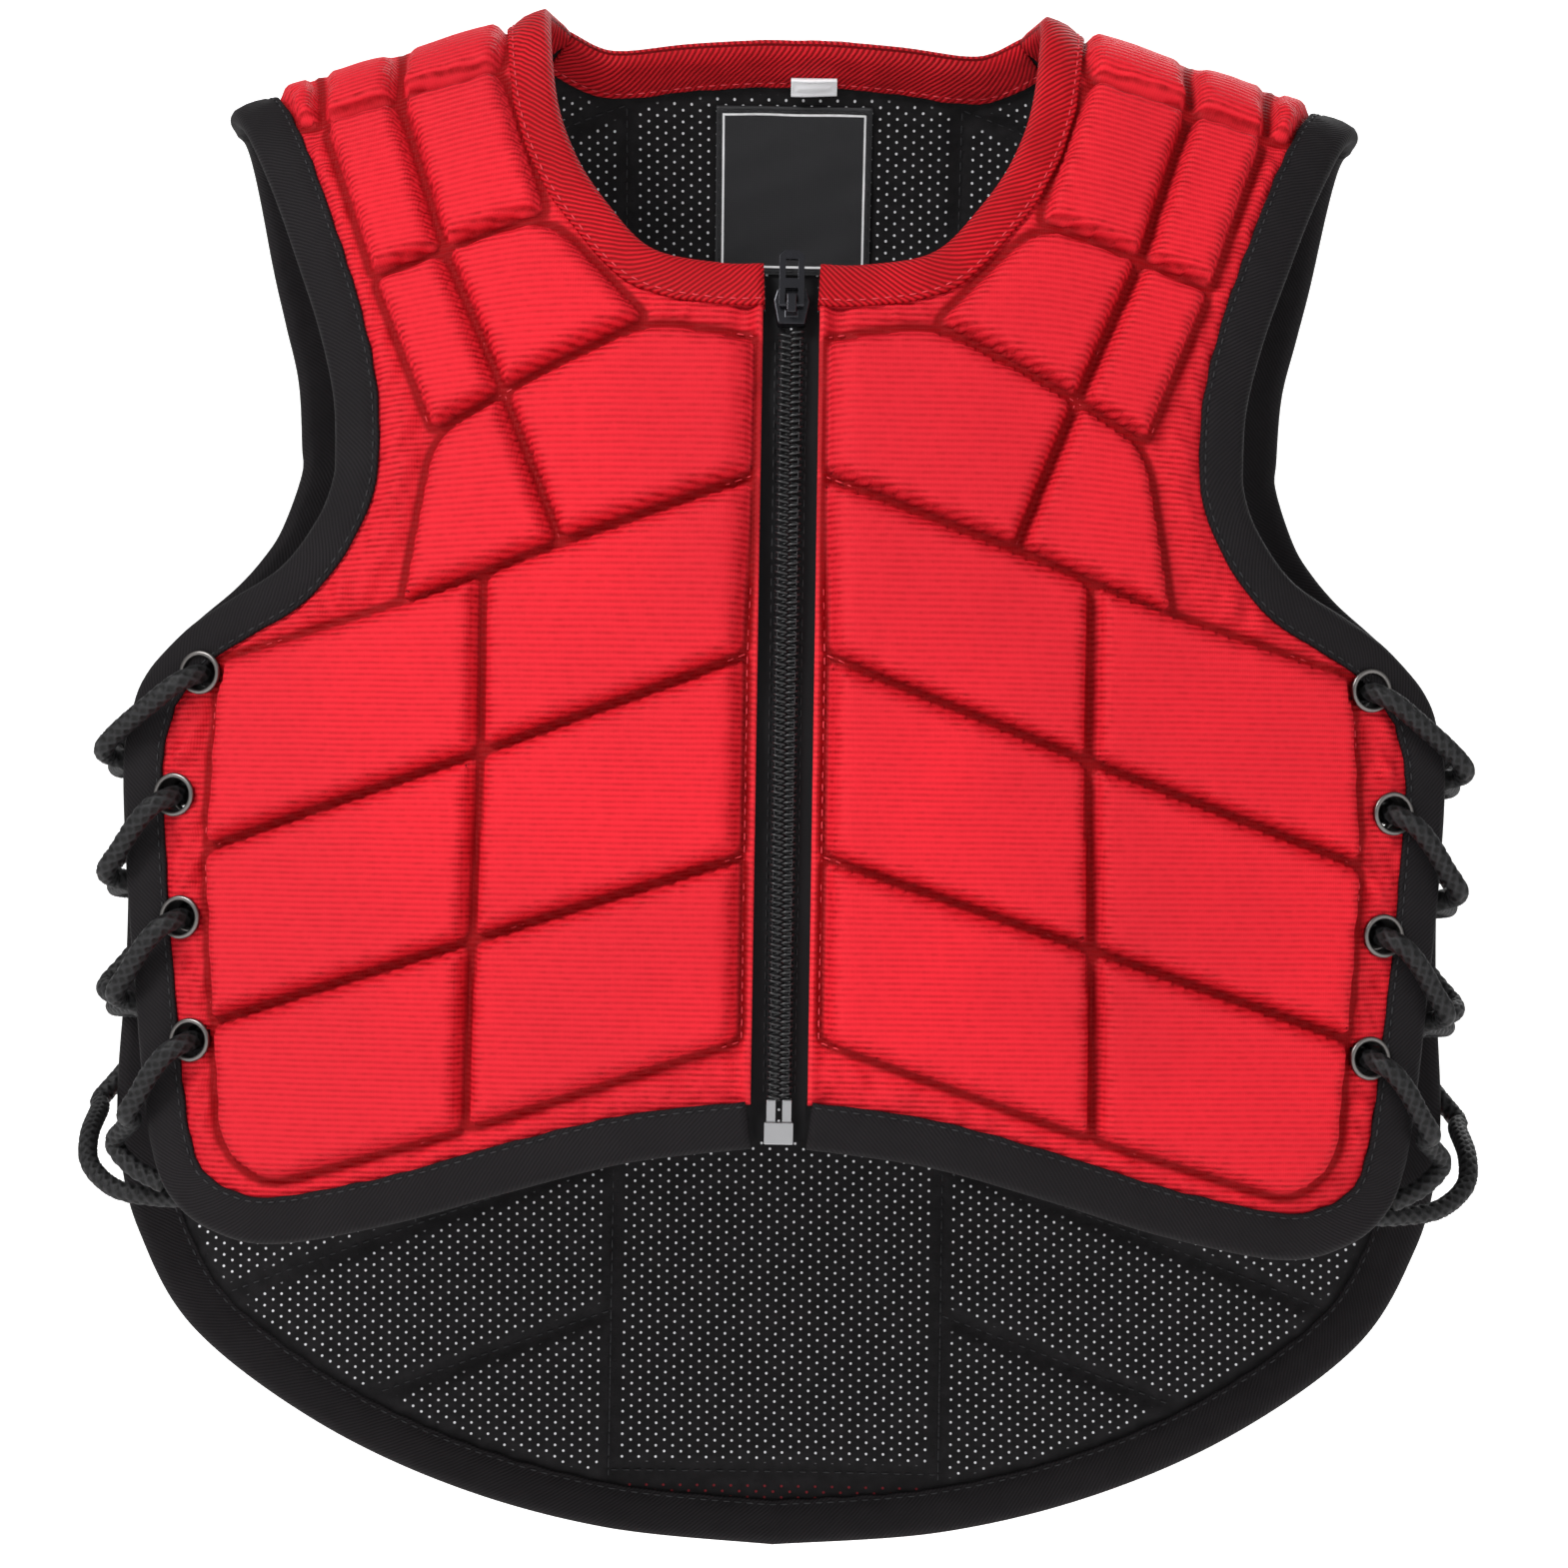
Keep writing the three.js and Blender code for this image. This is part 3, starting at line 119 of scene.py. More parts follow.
# Sewn lines of the front: the strap's as shares of STRAP_WIDTH and ARM_DROP, the trunk's of side and drop
STRAP_LINES = [
    {"inner": (0.06, -0.061), "split": (0.445, -0.061), "outer": (0.72, -0.061), "rim": (0.86, -0.061)},
    {"inner": (0.122, 0.138), "split": (0.445, 0.145), "outer": (0.69, 0.148), "rim": (0.85, 0.126)},
    {"inner": (-0.04, 0.388), "split": (0.28, 0.418), "outer": (0.507, 0.44), "rim": (0.6, 0.45)},
    {"inner": (-0.354, 0.542), "split": (0.085, 0.644), "outer": (0.305, 0.694), "rim": (0.4, 0.7)},
]
TRUNK_LINES = [
    {"inner": (0.047, 0.437), "above": (0.331, 0.494), "split": (0.444, 0.517), "outer": (0.852, 0.59)},
    {"inner": (0.056, 0.581), "above": (0.444, 0.668), "split": (0.444, 0.668), "outer": (0.87, 0.756)},
    {"inner": (0.056, 0.753), "above": (0.453, 0.83), "split": (0.453, 0.83), "outer": (0.855, 0.907)},
    {"inner": (0.056, 0.912), "above": (0.459, 0.994), "split": (0.459, 0.994), "outer": (0.765, 1.048)},
]
ARM_CORNER = (0.571, 0.545)
NECK_CORNER = (0.047, 0.325)
HEM_CORNER = (0.837, 1.017)
BACK_COLUMN = 0.25
BACK_SPLIT = 0.55
BACK_FALL = 0.35
BACK_ROWS = [-0.1, 0.075, 0.2, 0.318, 0.425, 0.535, 0.642, 0.748, 0.85]
CENTRE_ROWS = [0.06, 0.24, 0.435, 0.625, 0.955]

# Laces as (out towards the edge, height above the wall, distance below the eyelet)
LACE = 4.7
LACE_OUT = [
    (0, -1, 0), (0.6, 5.3, 0.7), (4, 8.4, 3.2), (9, 8.2, 8.4), (13.8, 7.2, 14), (18.6, 5.4, 19),
    (20.4, -0.6, 21), (19, -7.6, 22.4),
]
LACE_IN = [(9.5, -9.6, -4.8), (3, -8.4, -1.6), (0.2, -5, -0.2)]
LACE_BAR = [(0.2, -5, 0), (3, -9, -0.6), (8, -15, -1)]
CROSS_OUT = {"front": 170.6, "back": 164.6}
FRONT_END = [(168, -21, -27), (163, -23, -33), (155, -25, -37)]
BACK_END = [(177.5, 6, -27), (176, -3, -34), (168.5, -11, -39.5), (158, -16, -41), (148, -20, -41)]


# How finely the trunk's curves are sampled, how far they reach and how softly the shoulders fall
SAMPLES = 400
MEAN_REACH = 0.8
ROUND_REACH = 1.15
CURVE_STEPS = 24
SHOULDER_SOFT = 5.0


def bell(x, width):
    return np.exp(-((x / width) ** 2))


def unit(x):
    return np.clip(x, 0, 1)


def running_length(line):
    return np.concatenate([[0], np.cumsum(np.linalg.norm(np.diff(line, axis=0), axis=1))])


def crest_profile(power, depth):
    """Distance from the crest, and the shares out and up that belong to it."""
    turn = np.linspace(0, math.pi / 2, SAMPLES)
    out = np.sin(turn) ** (2 / power)
    up = np.cos(turn) ** (2 / power)
    steps = np.hypot(MEAN_REACH * depth * np.diff(out), SHOULDER_DROP * np.diff(up))
    return np.concatenate([[0], np.cumsum(steps)]), out, up


ROUND_X = np.linspace(0, ROUND_REACH * HALF_WIDTH, SAMPLES)
MEAN_SAG = (FRONT_SAG + BACK_SAG) / 2
ROUND_STEPS = np.hypot(np.diff(ROUND_X), MEAN_SAG * np.diff(ROUND_X**2) / HALF_WIDTH**2)
ROUND_S = np.concatenate([[0], np.cumsum(ROUND_STEPS)])
FRONT_CREST = crest_profile(FRONT_CREST_POWER, FRONT_DEPTH)
BACK_CREST = crest_profile(BACK_CREST_POWER, BACK_DEPTH)
FRONT_LENGTH = FRONT_CREST[0][-1]
BACK_LENGTH = BACK_CREST[0][-1]


def one_wall(s, drop, crest, depth, sag, tuck, side):
    length, out, up = crest
    x = np.interp(np.abs(s), ROUND_S, ROUND_X)
    beyond = SHOULDER_SOFT * np.logaddexp(0, (x - NECK_HALF) / SHOULDER_SOFT)
    crest_z = CREST_SEAT + SHOULDER_FALL * (STRAP_MIDDLE - NECK_HALF - beyond)
    below = np.maximum(drop - length[-1], 0)
    upright = CREST_SEAT - SHOULDER_DROP
    z = upright + (crest_z - upright) * np.where(below > 0, 0, np.interp(drop, length, up)) - below
    reach = (depth - sag * (x / HALF_WIDTH) ** 2) * (1 - tuck * (below / TUCK_LENGTH) ** 2)
    y = side * reach * np.where(below > 0, 1, np.interp(drop, length, out))
    return np.stack([np.sign(s) * x, y, z], -1)


def wall_point(s, w):
    """Middle of the wall: s goes round to the side, w down the back, or up the front below 0."""
    s, w = np.broadcast_arrays(np.asarray(s, float), np.asarray(w, float))
    drop = np.abs(w)
    front = one_wall(s, drop, FRONT_CREST, FRONT_DEPTH, FRONT_SAG, FRONT_TUCK, -1)
    back = one_wall(s, drop, BACK_CREST, BACK_DEPTH, BACK_SAG, BACK_TUCK, 1)
    return np.where((w < 0)[..., None], front, back)


def wall_normal(s, w, near=1.2):
    across = wall_point(s + near, w) - wall_point(s - near, w)
    along = wall_point(s, w + near) - wall_point(s, w - near)
    normal = np.cross(across, along)
    return normal / np.linalg.norm(normal, axis=-1, keepdims=True)


def chart(s, w, high):
    """Points at a height above the middle of the wall, in millimetres."""
    s, w, high = np.broadcast_arrays(np.asarray(s, float), np.asarray(w, float), np.asarray(high, float))
    points = wall_point(s, w) + wall_normal(s, w) * high[..., None]
    across = unit((COLLAR_OUT - np.abs(s)) / COLLAR_WIDTH)
    points[..., 2] += COLLAR_LIFT * across**2 * (3 - 2 * across) * bell(w, COLLAR_LENGTH)
    return points


def smooth(points, step):
    """A Catmull-Rom curve through the points, in even steps."""
    p = np.array(points, float)
    p = np.vstack([p[:1], p, p[-1:]])
    t = np.linspace(0, 1, CURVE_STEPS, endpoint=False)[:, None]
    parts = []
    for a, b, c, d in zip(p[:-3], p[1:-2], p[2:-1], p[3:]):
        m0 = (c - a) / 2
        m1 = (d - b) / 2
        parts.append((2 * b - 2 * c + m0 + m1) * t**3 + (3 * c - 3 * b - 2 * m0 - m1) * t**2 + m0 * t + b)
    line = np.vstack([*parts, p[-1:]])
    return even(line, step)


def even(line, step):
    """A polyline resampled in even steps."""
    length = running_length(line)
    count = max(int(round(length[-1] / step)), 2)
    at = np.linspace(0, length[-1], count + 1)
    return np.stack([np.interp(at, length, line[:, k]) for k in range(line.shape[1])], 1)


def armhole(upper, lower, chest, side, sign):
    """Points down an armhole: the upper curve from the strap's edge, the lower one from the side's."""
    rows = [(STRAP_EDGE + (chest - STRAP_EDGE) * inward, sign * down * ARM_DROP) for down, inward in upper]
    return rows + [(side + (chest - side) * inward, sign * down * ARM_DROP) for down, inward in lower]


def mirrored(line):
    return np.stack([-line[::-1, 0], line[::-1, 1]], 1)


EDGE_STEP = 2.0
front_neck_points = [(across * NECK_HALF, -down * FRONT_NECK_DROP) for across, down in FRONT_NECK]
neck_seam = (BACK_NECK[0][0] * NECK_HALF, SEAM_BACK)
front_neck = smooth([neck_seam, *front_neck_points, (ZIP_EDGE, -FRONT_NECK_DROP)], EDGE_STEP)
front_edge_points = [
    (STRAP_EDGE - SEAM_INSET, SEAM_BACK),
    *armhole(FRONT_ARM_UPPER, FRONT_ARM_LOWER, FRONT_CHEST_HALF, FRONT_SIDE, -1),
    *[(max(a * FRONT_SIDE, ZIP_EDGE), -b * FRONT_DROP - c * HEM_DIP) for a, b, c in FRONT_EDGE],
]
front_edge = smooth(front_edge_points, EDGE_STEP)[::-1]
back_neck_points = [(a * NECK_HALF, b * BACK_NECK_DROP) for a, b in BACK_NECK[1:]]
back_neck_half = smooth([(neck_seam[0], BACK_TOP), *back_neck_points], EDGE_STEP)
back_arm = armhole(BACK_ARM_UPPER, BACK_ARM_LOWER, BACK_CHEST_HALF, BACK_SIDE, 1)[1:]
back_tail = [(a * BACK_SIDE, b * BACK_DROP) for a, b in BACK_EDGE]
back_half = smooth([(STRAP_EDGE - SEAM_INSET, BACK_TOP), *back_arm, *back_tail], EDGE_STEP)
back_neck = np.vstack([back_neck_half * (-1, 1), back_neck_half[::-1][1:]])
back_edge = np.vstack([back_half, mirrored(back_half)[1:]])


def strap_point(at):
    return (NECK_HALF + at[0] * STRAP_WIDTH, -at[1] * ARM_DROP)


def trunk_point(at):
    return (at[0] * FRONT_SIDE, -at[1] * FRONT_DROP)


def front_pads():
    strap = [{name: strap_point(at) for name, at in row.items()} for row in STRAP_LINES]
    trunk = [{name: trunk_point(at) for name, at in row.items()} for row in TRUNK_LINES]
    pads = [[strap[0]["outer"], strap[0]["rim"], strap[1]["rim"], strap[1]["outer"]]]
    for top, foot in zip(strap, strap[1:]):
        pads.append([top["inner"], top["split"], foot["split"], foot["inner"]])
        pads.append([top["split"], top["outer"], foot["outer"], foot["split"]])
    last = strap[-1]
    first = trunk[0]
    pads.append([last["inner"], last["split"], first["above"], first["inner"], trunk_point(NECK_CORNER)])
    pads.append([last["split"], last["outer"], trunk_point(ARM_CORNER), first["above"]])
    for i, (top, foot) in enumerate(zip(trunk, trunk[1:])):
        corner = [trunk_point(HEM_CORNER)] if i == len(trunk) - 2 else []
        pads.append([top["inner"], top["split"], foot["above"], foot["inner"]])
        pads.append([top["split"], top["outer"], *corner, foot["outer"], foot["above"]])
    return pads


def back_pads():
    column = BACK_COLUMN * BACK_SIDE
    split = BACK_SPLIT * BACK_SIDE
    rim = 1.1 * BACK_SIDE

    def at(row, s):
        return (s, row * BACK_DROP + BACK_FALL * (s - column))

    pads = []
    for i, (top, foot) in enumerate(zip(BACK_ROWS, BACK_ROWS[1:])):
        if i < len(BACK_ROWS) - 2:
            pads.append([at(foot, column), at(foot, split), at(top, split), at(top, column)])
            pads.append([at(foot, split), at(foot, rim), at(top, rim), at(top, split)])
        else:
            pads.append([at(foot, column), at(foot, rim), at(top, rim), at(top, column)])
    low = BACK_ROWS[-1]
    pads.append([(column, BACK_DROP), (rim, BACK_DROP), at(low, rim), at(low, column)])
    pads += [[(-s, w) for s, w in pad] for pad in pads]
    for top, foot in zip(CENTRE_ROWS, CENTRE_ROWS[1:]):
        low, high = foot * BACK_DROP, top * BACK_DROP
        pads.append([(-column, low), (column, low), (column, high), (-column, high)])
    return pads


# Distances in the pattern
def to_line(points, line, closed=False):
    """Distance from each point to a polyline, and where along it the nearest place is."""
    line = np.asarray(line, float)
    if closed:
        line = np.vstack([line, line[:1]])
    best = np.full(len(points), np.inf)
    along = np.zeros(len(points))
    start = 0.0
    for a, b in zip(line[:-1], line[1:]):
        ab = b - a
        length = math.hypot(*ab)
        t = unit(((points - a) @ ab) / max(length**2, 1e-9))
        d = np.hypot(points[:, 0] - a[0] - t * ab[0], points[:, 1] - a[1] - t * ab[1])
        nearer = d < best
        best = np.where(nearer, d, best)
        along = np.where(nearer, start + t * length, along)
        start += length
    return best, along


def inside(points, polygon):
    polygon = np.asarray(polygon, float)
    result = np.zeros(len(points), bool)
    for a, b in zip(polygon, np.roll(polygon, -1, axis=0)):
        crosses = (a[1] > points[:, 1]) != (b[1] > points[:, 1])
        rise = b[1] - a[1] if b[1] != a[1] else 1e-9
        result ^= crosses & (points[:, 0] < (b[0] - a[0]) * (points[:, 1] - a[1]) / rise + a[0])
    return result


def waves(u, v, wavelength, seed, count=7):
    """Smooth irregular ripples between about -1 and 1."""
    draw = np.random.default_rng(seed)
    total = np.zeros(np.broadcast(u, v).shape)
    for _ in range(count):
        turn, phase = draw.uniform(0, 2 * math.pi, 2)
        k = 2 * math.pi / (wavelength * draw.uniform(0.7, 1.5))
        total += np.sin(k * (u * math.cos(turn) + v * math.sin(turn)) + phase)
    return total / math.sqrt(count)


def eyelet_places(edge, length, side):
    places = []
    for i in range(EYELETS):
        w = side * (length + EYELET_TOP + i * EYELET_PITCH - FRONT_LENGTH)
        places.append((edge_at(edge, w) - EYELET_INSET, w))
    return places


def edge_at(edge, w):
    """How far out the edge is at a level."""
    a, b = edge[:-1], edge[1:]
    rise = np.where(b[:, 1] == a[:, 1], 1e-9, b[:, 1] - a[:, 1])
    t = (w - a[:, 1]) / rise
    hit = (t >= 0) & (t <= 1)
    return float(np.max((a[:, 0] + t * (b[:, 0] - a[:, 0]))[hit]))


front_eyelets = eyelet_places(front_edge, FRONT_LENGTH, -1)
back_eyelets = eyelet_places(back_half, BACK_LENGTH, 1)
all_back_eyelets = back_eyelets + [(-s, w) for s, w in back_eyelets]
# Bound edges as (polyline, how far the binding covers)
FRONT_BOUND = [(front_neck, NECK_COVER), (front_edge, BIND_COVER)]
BACK_BOUND = [(back_neck, NECK_COVER), (back_edge, BIND_COVER)]


# Meshes
def new_mesh(name, points, faces, materials, face_materials=None, values=None, mirror=False):
    """A smooth-shaded mesh from points in millimetres; values are named numbers kept on its points."""
    mesh = bpy.data.meshes.new(name)
    points = np.asarray(points, float) * MM
    faces = faces if isinstance(faces, list) else faces.tolist()
    if mirror:
        points = points * (-1, 1, 1)
        faces = [face[::-1] for face in faces]
    mesh.from_pydata(points.tolist(), [], faces)
    for material in materials:
        mesh.materials.append(material)
    if face_materials is not None:
        mesh.polygons.foreach_set("material_index", np.asarray(face_materials, np.int32))
    for key, numbers in (values or {}).items():
        layer = mesh.attributes.new(key, "FLOAT", "POINT")
        layer.data.foreach_set("value", np.asarray(numbers, np.float32))
    mesh.polygons.foreach_set("use_smooth", np.ones(len(mesh.polygons), bool))
    mesh.update()
    obj = bpy.data.objects.new(name, mesh)
    bpy.context.scene.collection.objects.link(obj)
    return obj


def dress(obj, slot, *nodes, body=BODY):
    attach(obj, body)
    if nodes:
        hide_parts(*nodes)
    return obj


def grid_solid(name, s_lines, w_lines, keep, top, bottom, values, materials, mirror=False):
    """A closed cloth panel over the kept cells of a pattern grid, between two heights."""
    S, W = np.meshgrid(s_lines, w_lines, indexing="ij")
    rows, columns = S.shape
    index = np.arange(rows * columns).reshape(rows, columns)
    cells = np.argwhere(keep)
    a = index[cells[:, 0], cells[:, 1]]
    b = index[cells[:, 0] + 1, cells[:, 1]]
    c = index[cells[:, 0] + 1, cells[:, 1] + 1]
    d = index[cells[:, 0], cells[:, 1] + 1]
    size = rows * columns
    upper = np.stack([a, b, c, d], 1)
    lower = np.stack([d, c, b, a], 1) + size
    starts = upper.ravel()
    ends = np.roll(upper, -1, axis=1).ravel()
    forward = starts.astype(np.int64) * size + ends
    backward = ends.astype(np.int64) * size + starts
    border = ~np.isin(forward, backward)
    p, q = starts[border], ends[border]
    walls = np.stack([q, p, p + size, q + size], 1)
    faces = np.vstack([upper, lower, walls])
    points = np.vstack([chart(S, W, top).reshape(-1, 3), chart(S, W, bottom).reshape(-1, 3)])
    inner_kind = len(materials) - 1
    kinds = np.concatenate([np.zeros(len(upper)), np.full(len(lower), inner_kind), np.zeros(len(walls))])
    used, compact = np.unique(faces, return_inverse=True)
    faces = compact.reshape(faces.shape)
    both = {key: np.concatenate([number.ravel(), number.ravel()])[used] for key, number in values.items()}
    return new_mesh(name, points[used], faces, materials, kinds, both, mirror)


def join(points, faces, more_points, more_faces):
    start = len(points)
    points.extend(more_points)
    faces.extend([[start + k for k in face] for face in more_faces])


def swept_faces(count, sides):
    """Faces of a closed section swept along a line, with a cap at each end."""
    i, k = np.meshgrid(np.arange(count - 1), np.arange(sides), indexing="ij")
    a = (i * sides + k).ravel()
    b = (i * sides + (k + 1) % sides).ravel()
    faces = np.stack([a, b, b + sides, a + sides], 1).tolist()
    faces.append(list(range(sides))[::-1])
    faces.append([(count - 1) * sides + k for k in range(sides)])
    return faces


# Suffixes of names that come in pairs, and whether the piece is the mirrored one
PAIR = [("_right", False), ("_left", True)]
SINGLE = [("", False)]

# Form of the padded cloth, in millimetres and shares
PAD_ROUND = 3.4
EYELET_CLEAR = 6.4
RING_PRESS = 7.2
RING_FOOT = 3.0
CREST_SOFT = 7.0
CREST_PRESS = 2.2
CREST_LENGTH = 15.0
CREST_HEIGHT = 2.6
BLUNT = math.radians(118)
BLUNT_CUT = 9.0
SHARP_CUT = 3.2
CUT_SHARE = 0.42
CORNER_STEPS = 5
FAR_OUTSIDE = -50.0
PAD_SEARCH = 8
PAD_PHASE = 37.0
DOME_POWER = 2.5
DOME_SHARE = 0.92
CROWN_SHARE = 0.1
CROWN_LENGTH = 14
PUCKER_LENGTH = 6.0
PUCKER = 0.4
PUCKER_PLACE = 0.8
PUCKER_WIDTH = 2.2
MARGIN_START = 0.8
MARGIN_FULL = 7
MARGIN_RISE = 1.5
MARGIN_PUCKER = 0.75
SEAM_PRESS = 0.8
SEAM_PRESS_WIDTH = 0.9
SWELL = 0.25
SWELL_LENGTH = 34
UNDER_TAPE = 0.7
EYELET_HOLE = 4.7
CLOTH_INSET = 1.4


def rounded(polygon):
    """A pad's outline with its corners cut round, the blunt ones wider."""
    corners = np.array(polygon, float)
    result = []
    for before, corner, after in zip(np.roll(corners, 1, axis=0), corners, np.roll(corners, -1, axis=0)):
        back, ahead = before - corner, after - corner
        a, b = math.hypot(*back), math.hypot(*ahead)
        blunt = math.acos(np.clip(back @ ahead / (a * b), -1, 1)) > BLUNT
        cut = min(BLUNT_CUT if blunt else SHARP_CUT, CUT_SHARE * a, CUT_SHARE * b)
        start, end = corner + back / a * cut, corner + ahead / b * cut
        for t in np.linspace(0, 1, CORNER_STEPS):
            result.append((1 - t) ** 2 * start + 2 * t * (1 - t) * corner + t**2 * end)
    return np.array(result)


def pad_distance(points, pads, edge_distance, edge_along, places):
    """How far inside a pad each point is, below 0 in the channels, and a place along the nearest seam."""
    best = np.full(len(points), FAR_OUTSIDE)
    along = np.zeros(len(points))
    for number, pad in enumerate(pads):
        corners = rounded(pad)
        low, high = corners.min(0) - PAD_SEARCH, corners.max(0) + PAD_SEARCH
        near = np.flatnonzero(np.all((points > low) & (points < high), axis=1))
        if len(near) == 0:
            continue
        d, t = to_line(points[near], corners, closed=True)
        d = np.where(inside(points[near], corners), d, -d) - CHANNEL / 2
        rim = edge_distance[near]
        t = np.where(rim < d, edge_along[near], t + PAD_PHASE * number)
        d = np.minimum(d, rim)
        better = d > best[near]
        best[near] = np.where(better, d, best[near])
        along[near] = np.where(better, t, along[near])
    for s, w in places:
        best = np.minimum(best, np.hypot(points[:, 0] - s, points[:, 1] - w) - EYELET_CLEAR)
    return best, along


def puffed(distance, base, rise, round_size):
    """Height of a foam pad from the distance inside its edge."""
    share = unit(distance / round_size)
    dome = (1 - (1 - share) ** DOME_POWER) ** (1 / DOME_POWER)
    crown = CROWN_SHARE * (1 - np.exp(-np.maximum(distance, 0) / CROWN_LENGTH))
    return base + (rise - base) * (dome * DOME_SHARE + crown)


def panel_fields(s_lines, w_lines, pads, edges, seam_sign, places, seed):
    """Fields of a panel on its grid; edges are (polyline, cover) pairs.

    shown is how far a point is past the bindings' cover, cloth_rim how far it is from the cloth's edge.
    """
    S, W = np.meshgrid(s_lines, w_lines, indexing="ij")
    points = np.stack([S.ravel(), W.ravel()], 1)
    rim = np.full(len(points), np.inf)
    rim_along = np.zeros(len(points))
    cloth_rim = np.full(len(points), np.inf)
    shown = np.full(len(points), np.inf)
    for line, cover in edges:
        d, t = to_line(points, line[::2])
        shown = np.minimum(shown, d - cover)
        nearer = d - cover - PAD_CLEAR < rim
        rim = np.where(nearer, d - cover - PAD_CLEAR, rim)
        rim_along = np.where(nearer, t, rim_along)
        cloth_rim = np.minimum(cloth_rim, d)
    seam = seam_sign * (points[:, 1] - SEAM_BACK) - CHANNEL / 2
    rim = np.minimum(rim, seam)
    pad, along = pad_distance(points, pads, rim, rim_along, places)
    shape = S.shape
    pucker = waves(along, 0.12 * pad, PUCKER_LENGTH, seed)
    fields = [S.ravel(), W.ravel(), pad, pucker, shown, cloth_rim]
    return [field.reshape(shape) for field in fields]


def outer_height(S, W, pad, pucker, shown, seed):
    """Height of the outer cloth: pads, pressed seams and the loose margins beside the bindings."""
    high = puffed(pad, BASE_HALF, PAD_RISE, PAD_ROUND)
    high = high + PUCKER * pucker * bell(pad - PUCKER_PLACE, PUCKER_WIDTH) * unit(pad + 1.5)
    beside = np.maximum(-pad - CHANNEL / 2 - MARGIN_START, 0)
    open_side = np.maximum(shown, 0)
    share = beside / np.maximum(beside + open_side, 0.5)
    width = unit((beside + open_side) / MARGIN_FULL)
    high = high + width * np.sin(math.pi * share) ** 0.8 * (MARGIN_RISE + MARGIN_PUCKER * pucker)
    high = high - SEAM_PRESS * bell(pad + CHANNEL / 2, SEAM_PRESS_WIDTH)
    high = high - CREST_PRESS * bell(W, CREST_LENGTH) * unit((high - BASE_HALF) / 4)
    crest = unit((shown - 1) / 3) * bell(W, CREST_SOFT)
    high = np.maximum(high, BASE_HALF + CREST_HEIGHT * crest)
    high = high + SWELL * waves(S, W, SWELL_LENGTH, seed) * unit(pad / 5)
    return np.where(shown < UNDER_TAPE, np.minimum(high, BASE_HALF + 0.05), high)


def under_rings(S, W, top, places):
    """The outer cloth pressed flat below each eyelet's ring; also how far the nearest eyelet is."""
    near = np.min([np.hypot(S - s, W - w) for s, w in places], axis=0)
    return np.where(near < RING_PRESS, np.minimum(top, RING_FOOT), top), near


def cell_centres(field):
    return (field[1:, 1:] + field[:-1, 1:] + field[1:, :-1] + field[:-1, :-1]) / 4


def kept_cells(s_lines, w_lines, outline, cloth_rim, places):
    s = (s_lines[1:] + s_lines[:-1]) / 2
    w = (w_lines[1:] + w_lines[:-1]) / 2
    S, W = np.meshgrid(s, w, indexing="ij")
    points = np.stack([S.ravel(), W.ravel()], 1)
    keep = inside(points, outline).reshape(S.shape) & (cell_centres(cloth_rim) > CLOTH_INSET)
    for x, y in places:
        keep &= np.hypot(S - x, W - y) > EYELET_HOLE
    return keep


def lines(start, stop, step):
    return np.linspace(start, stop, int(round(abs(stop - start) / step)) + 1)


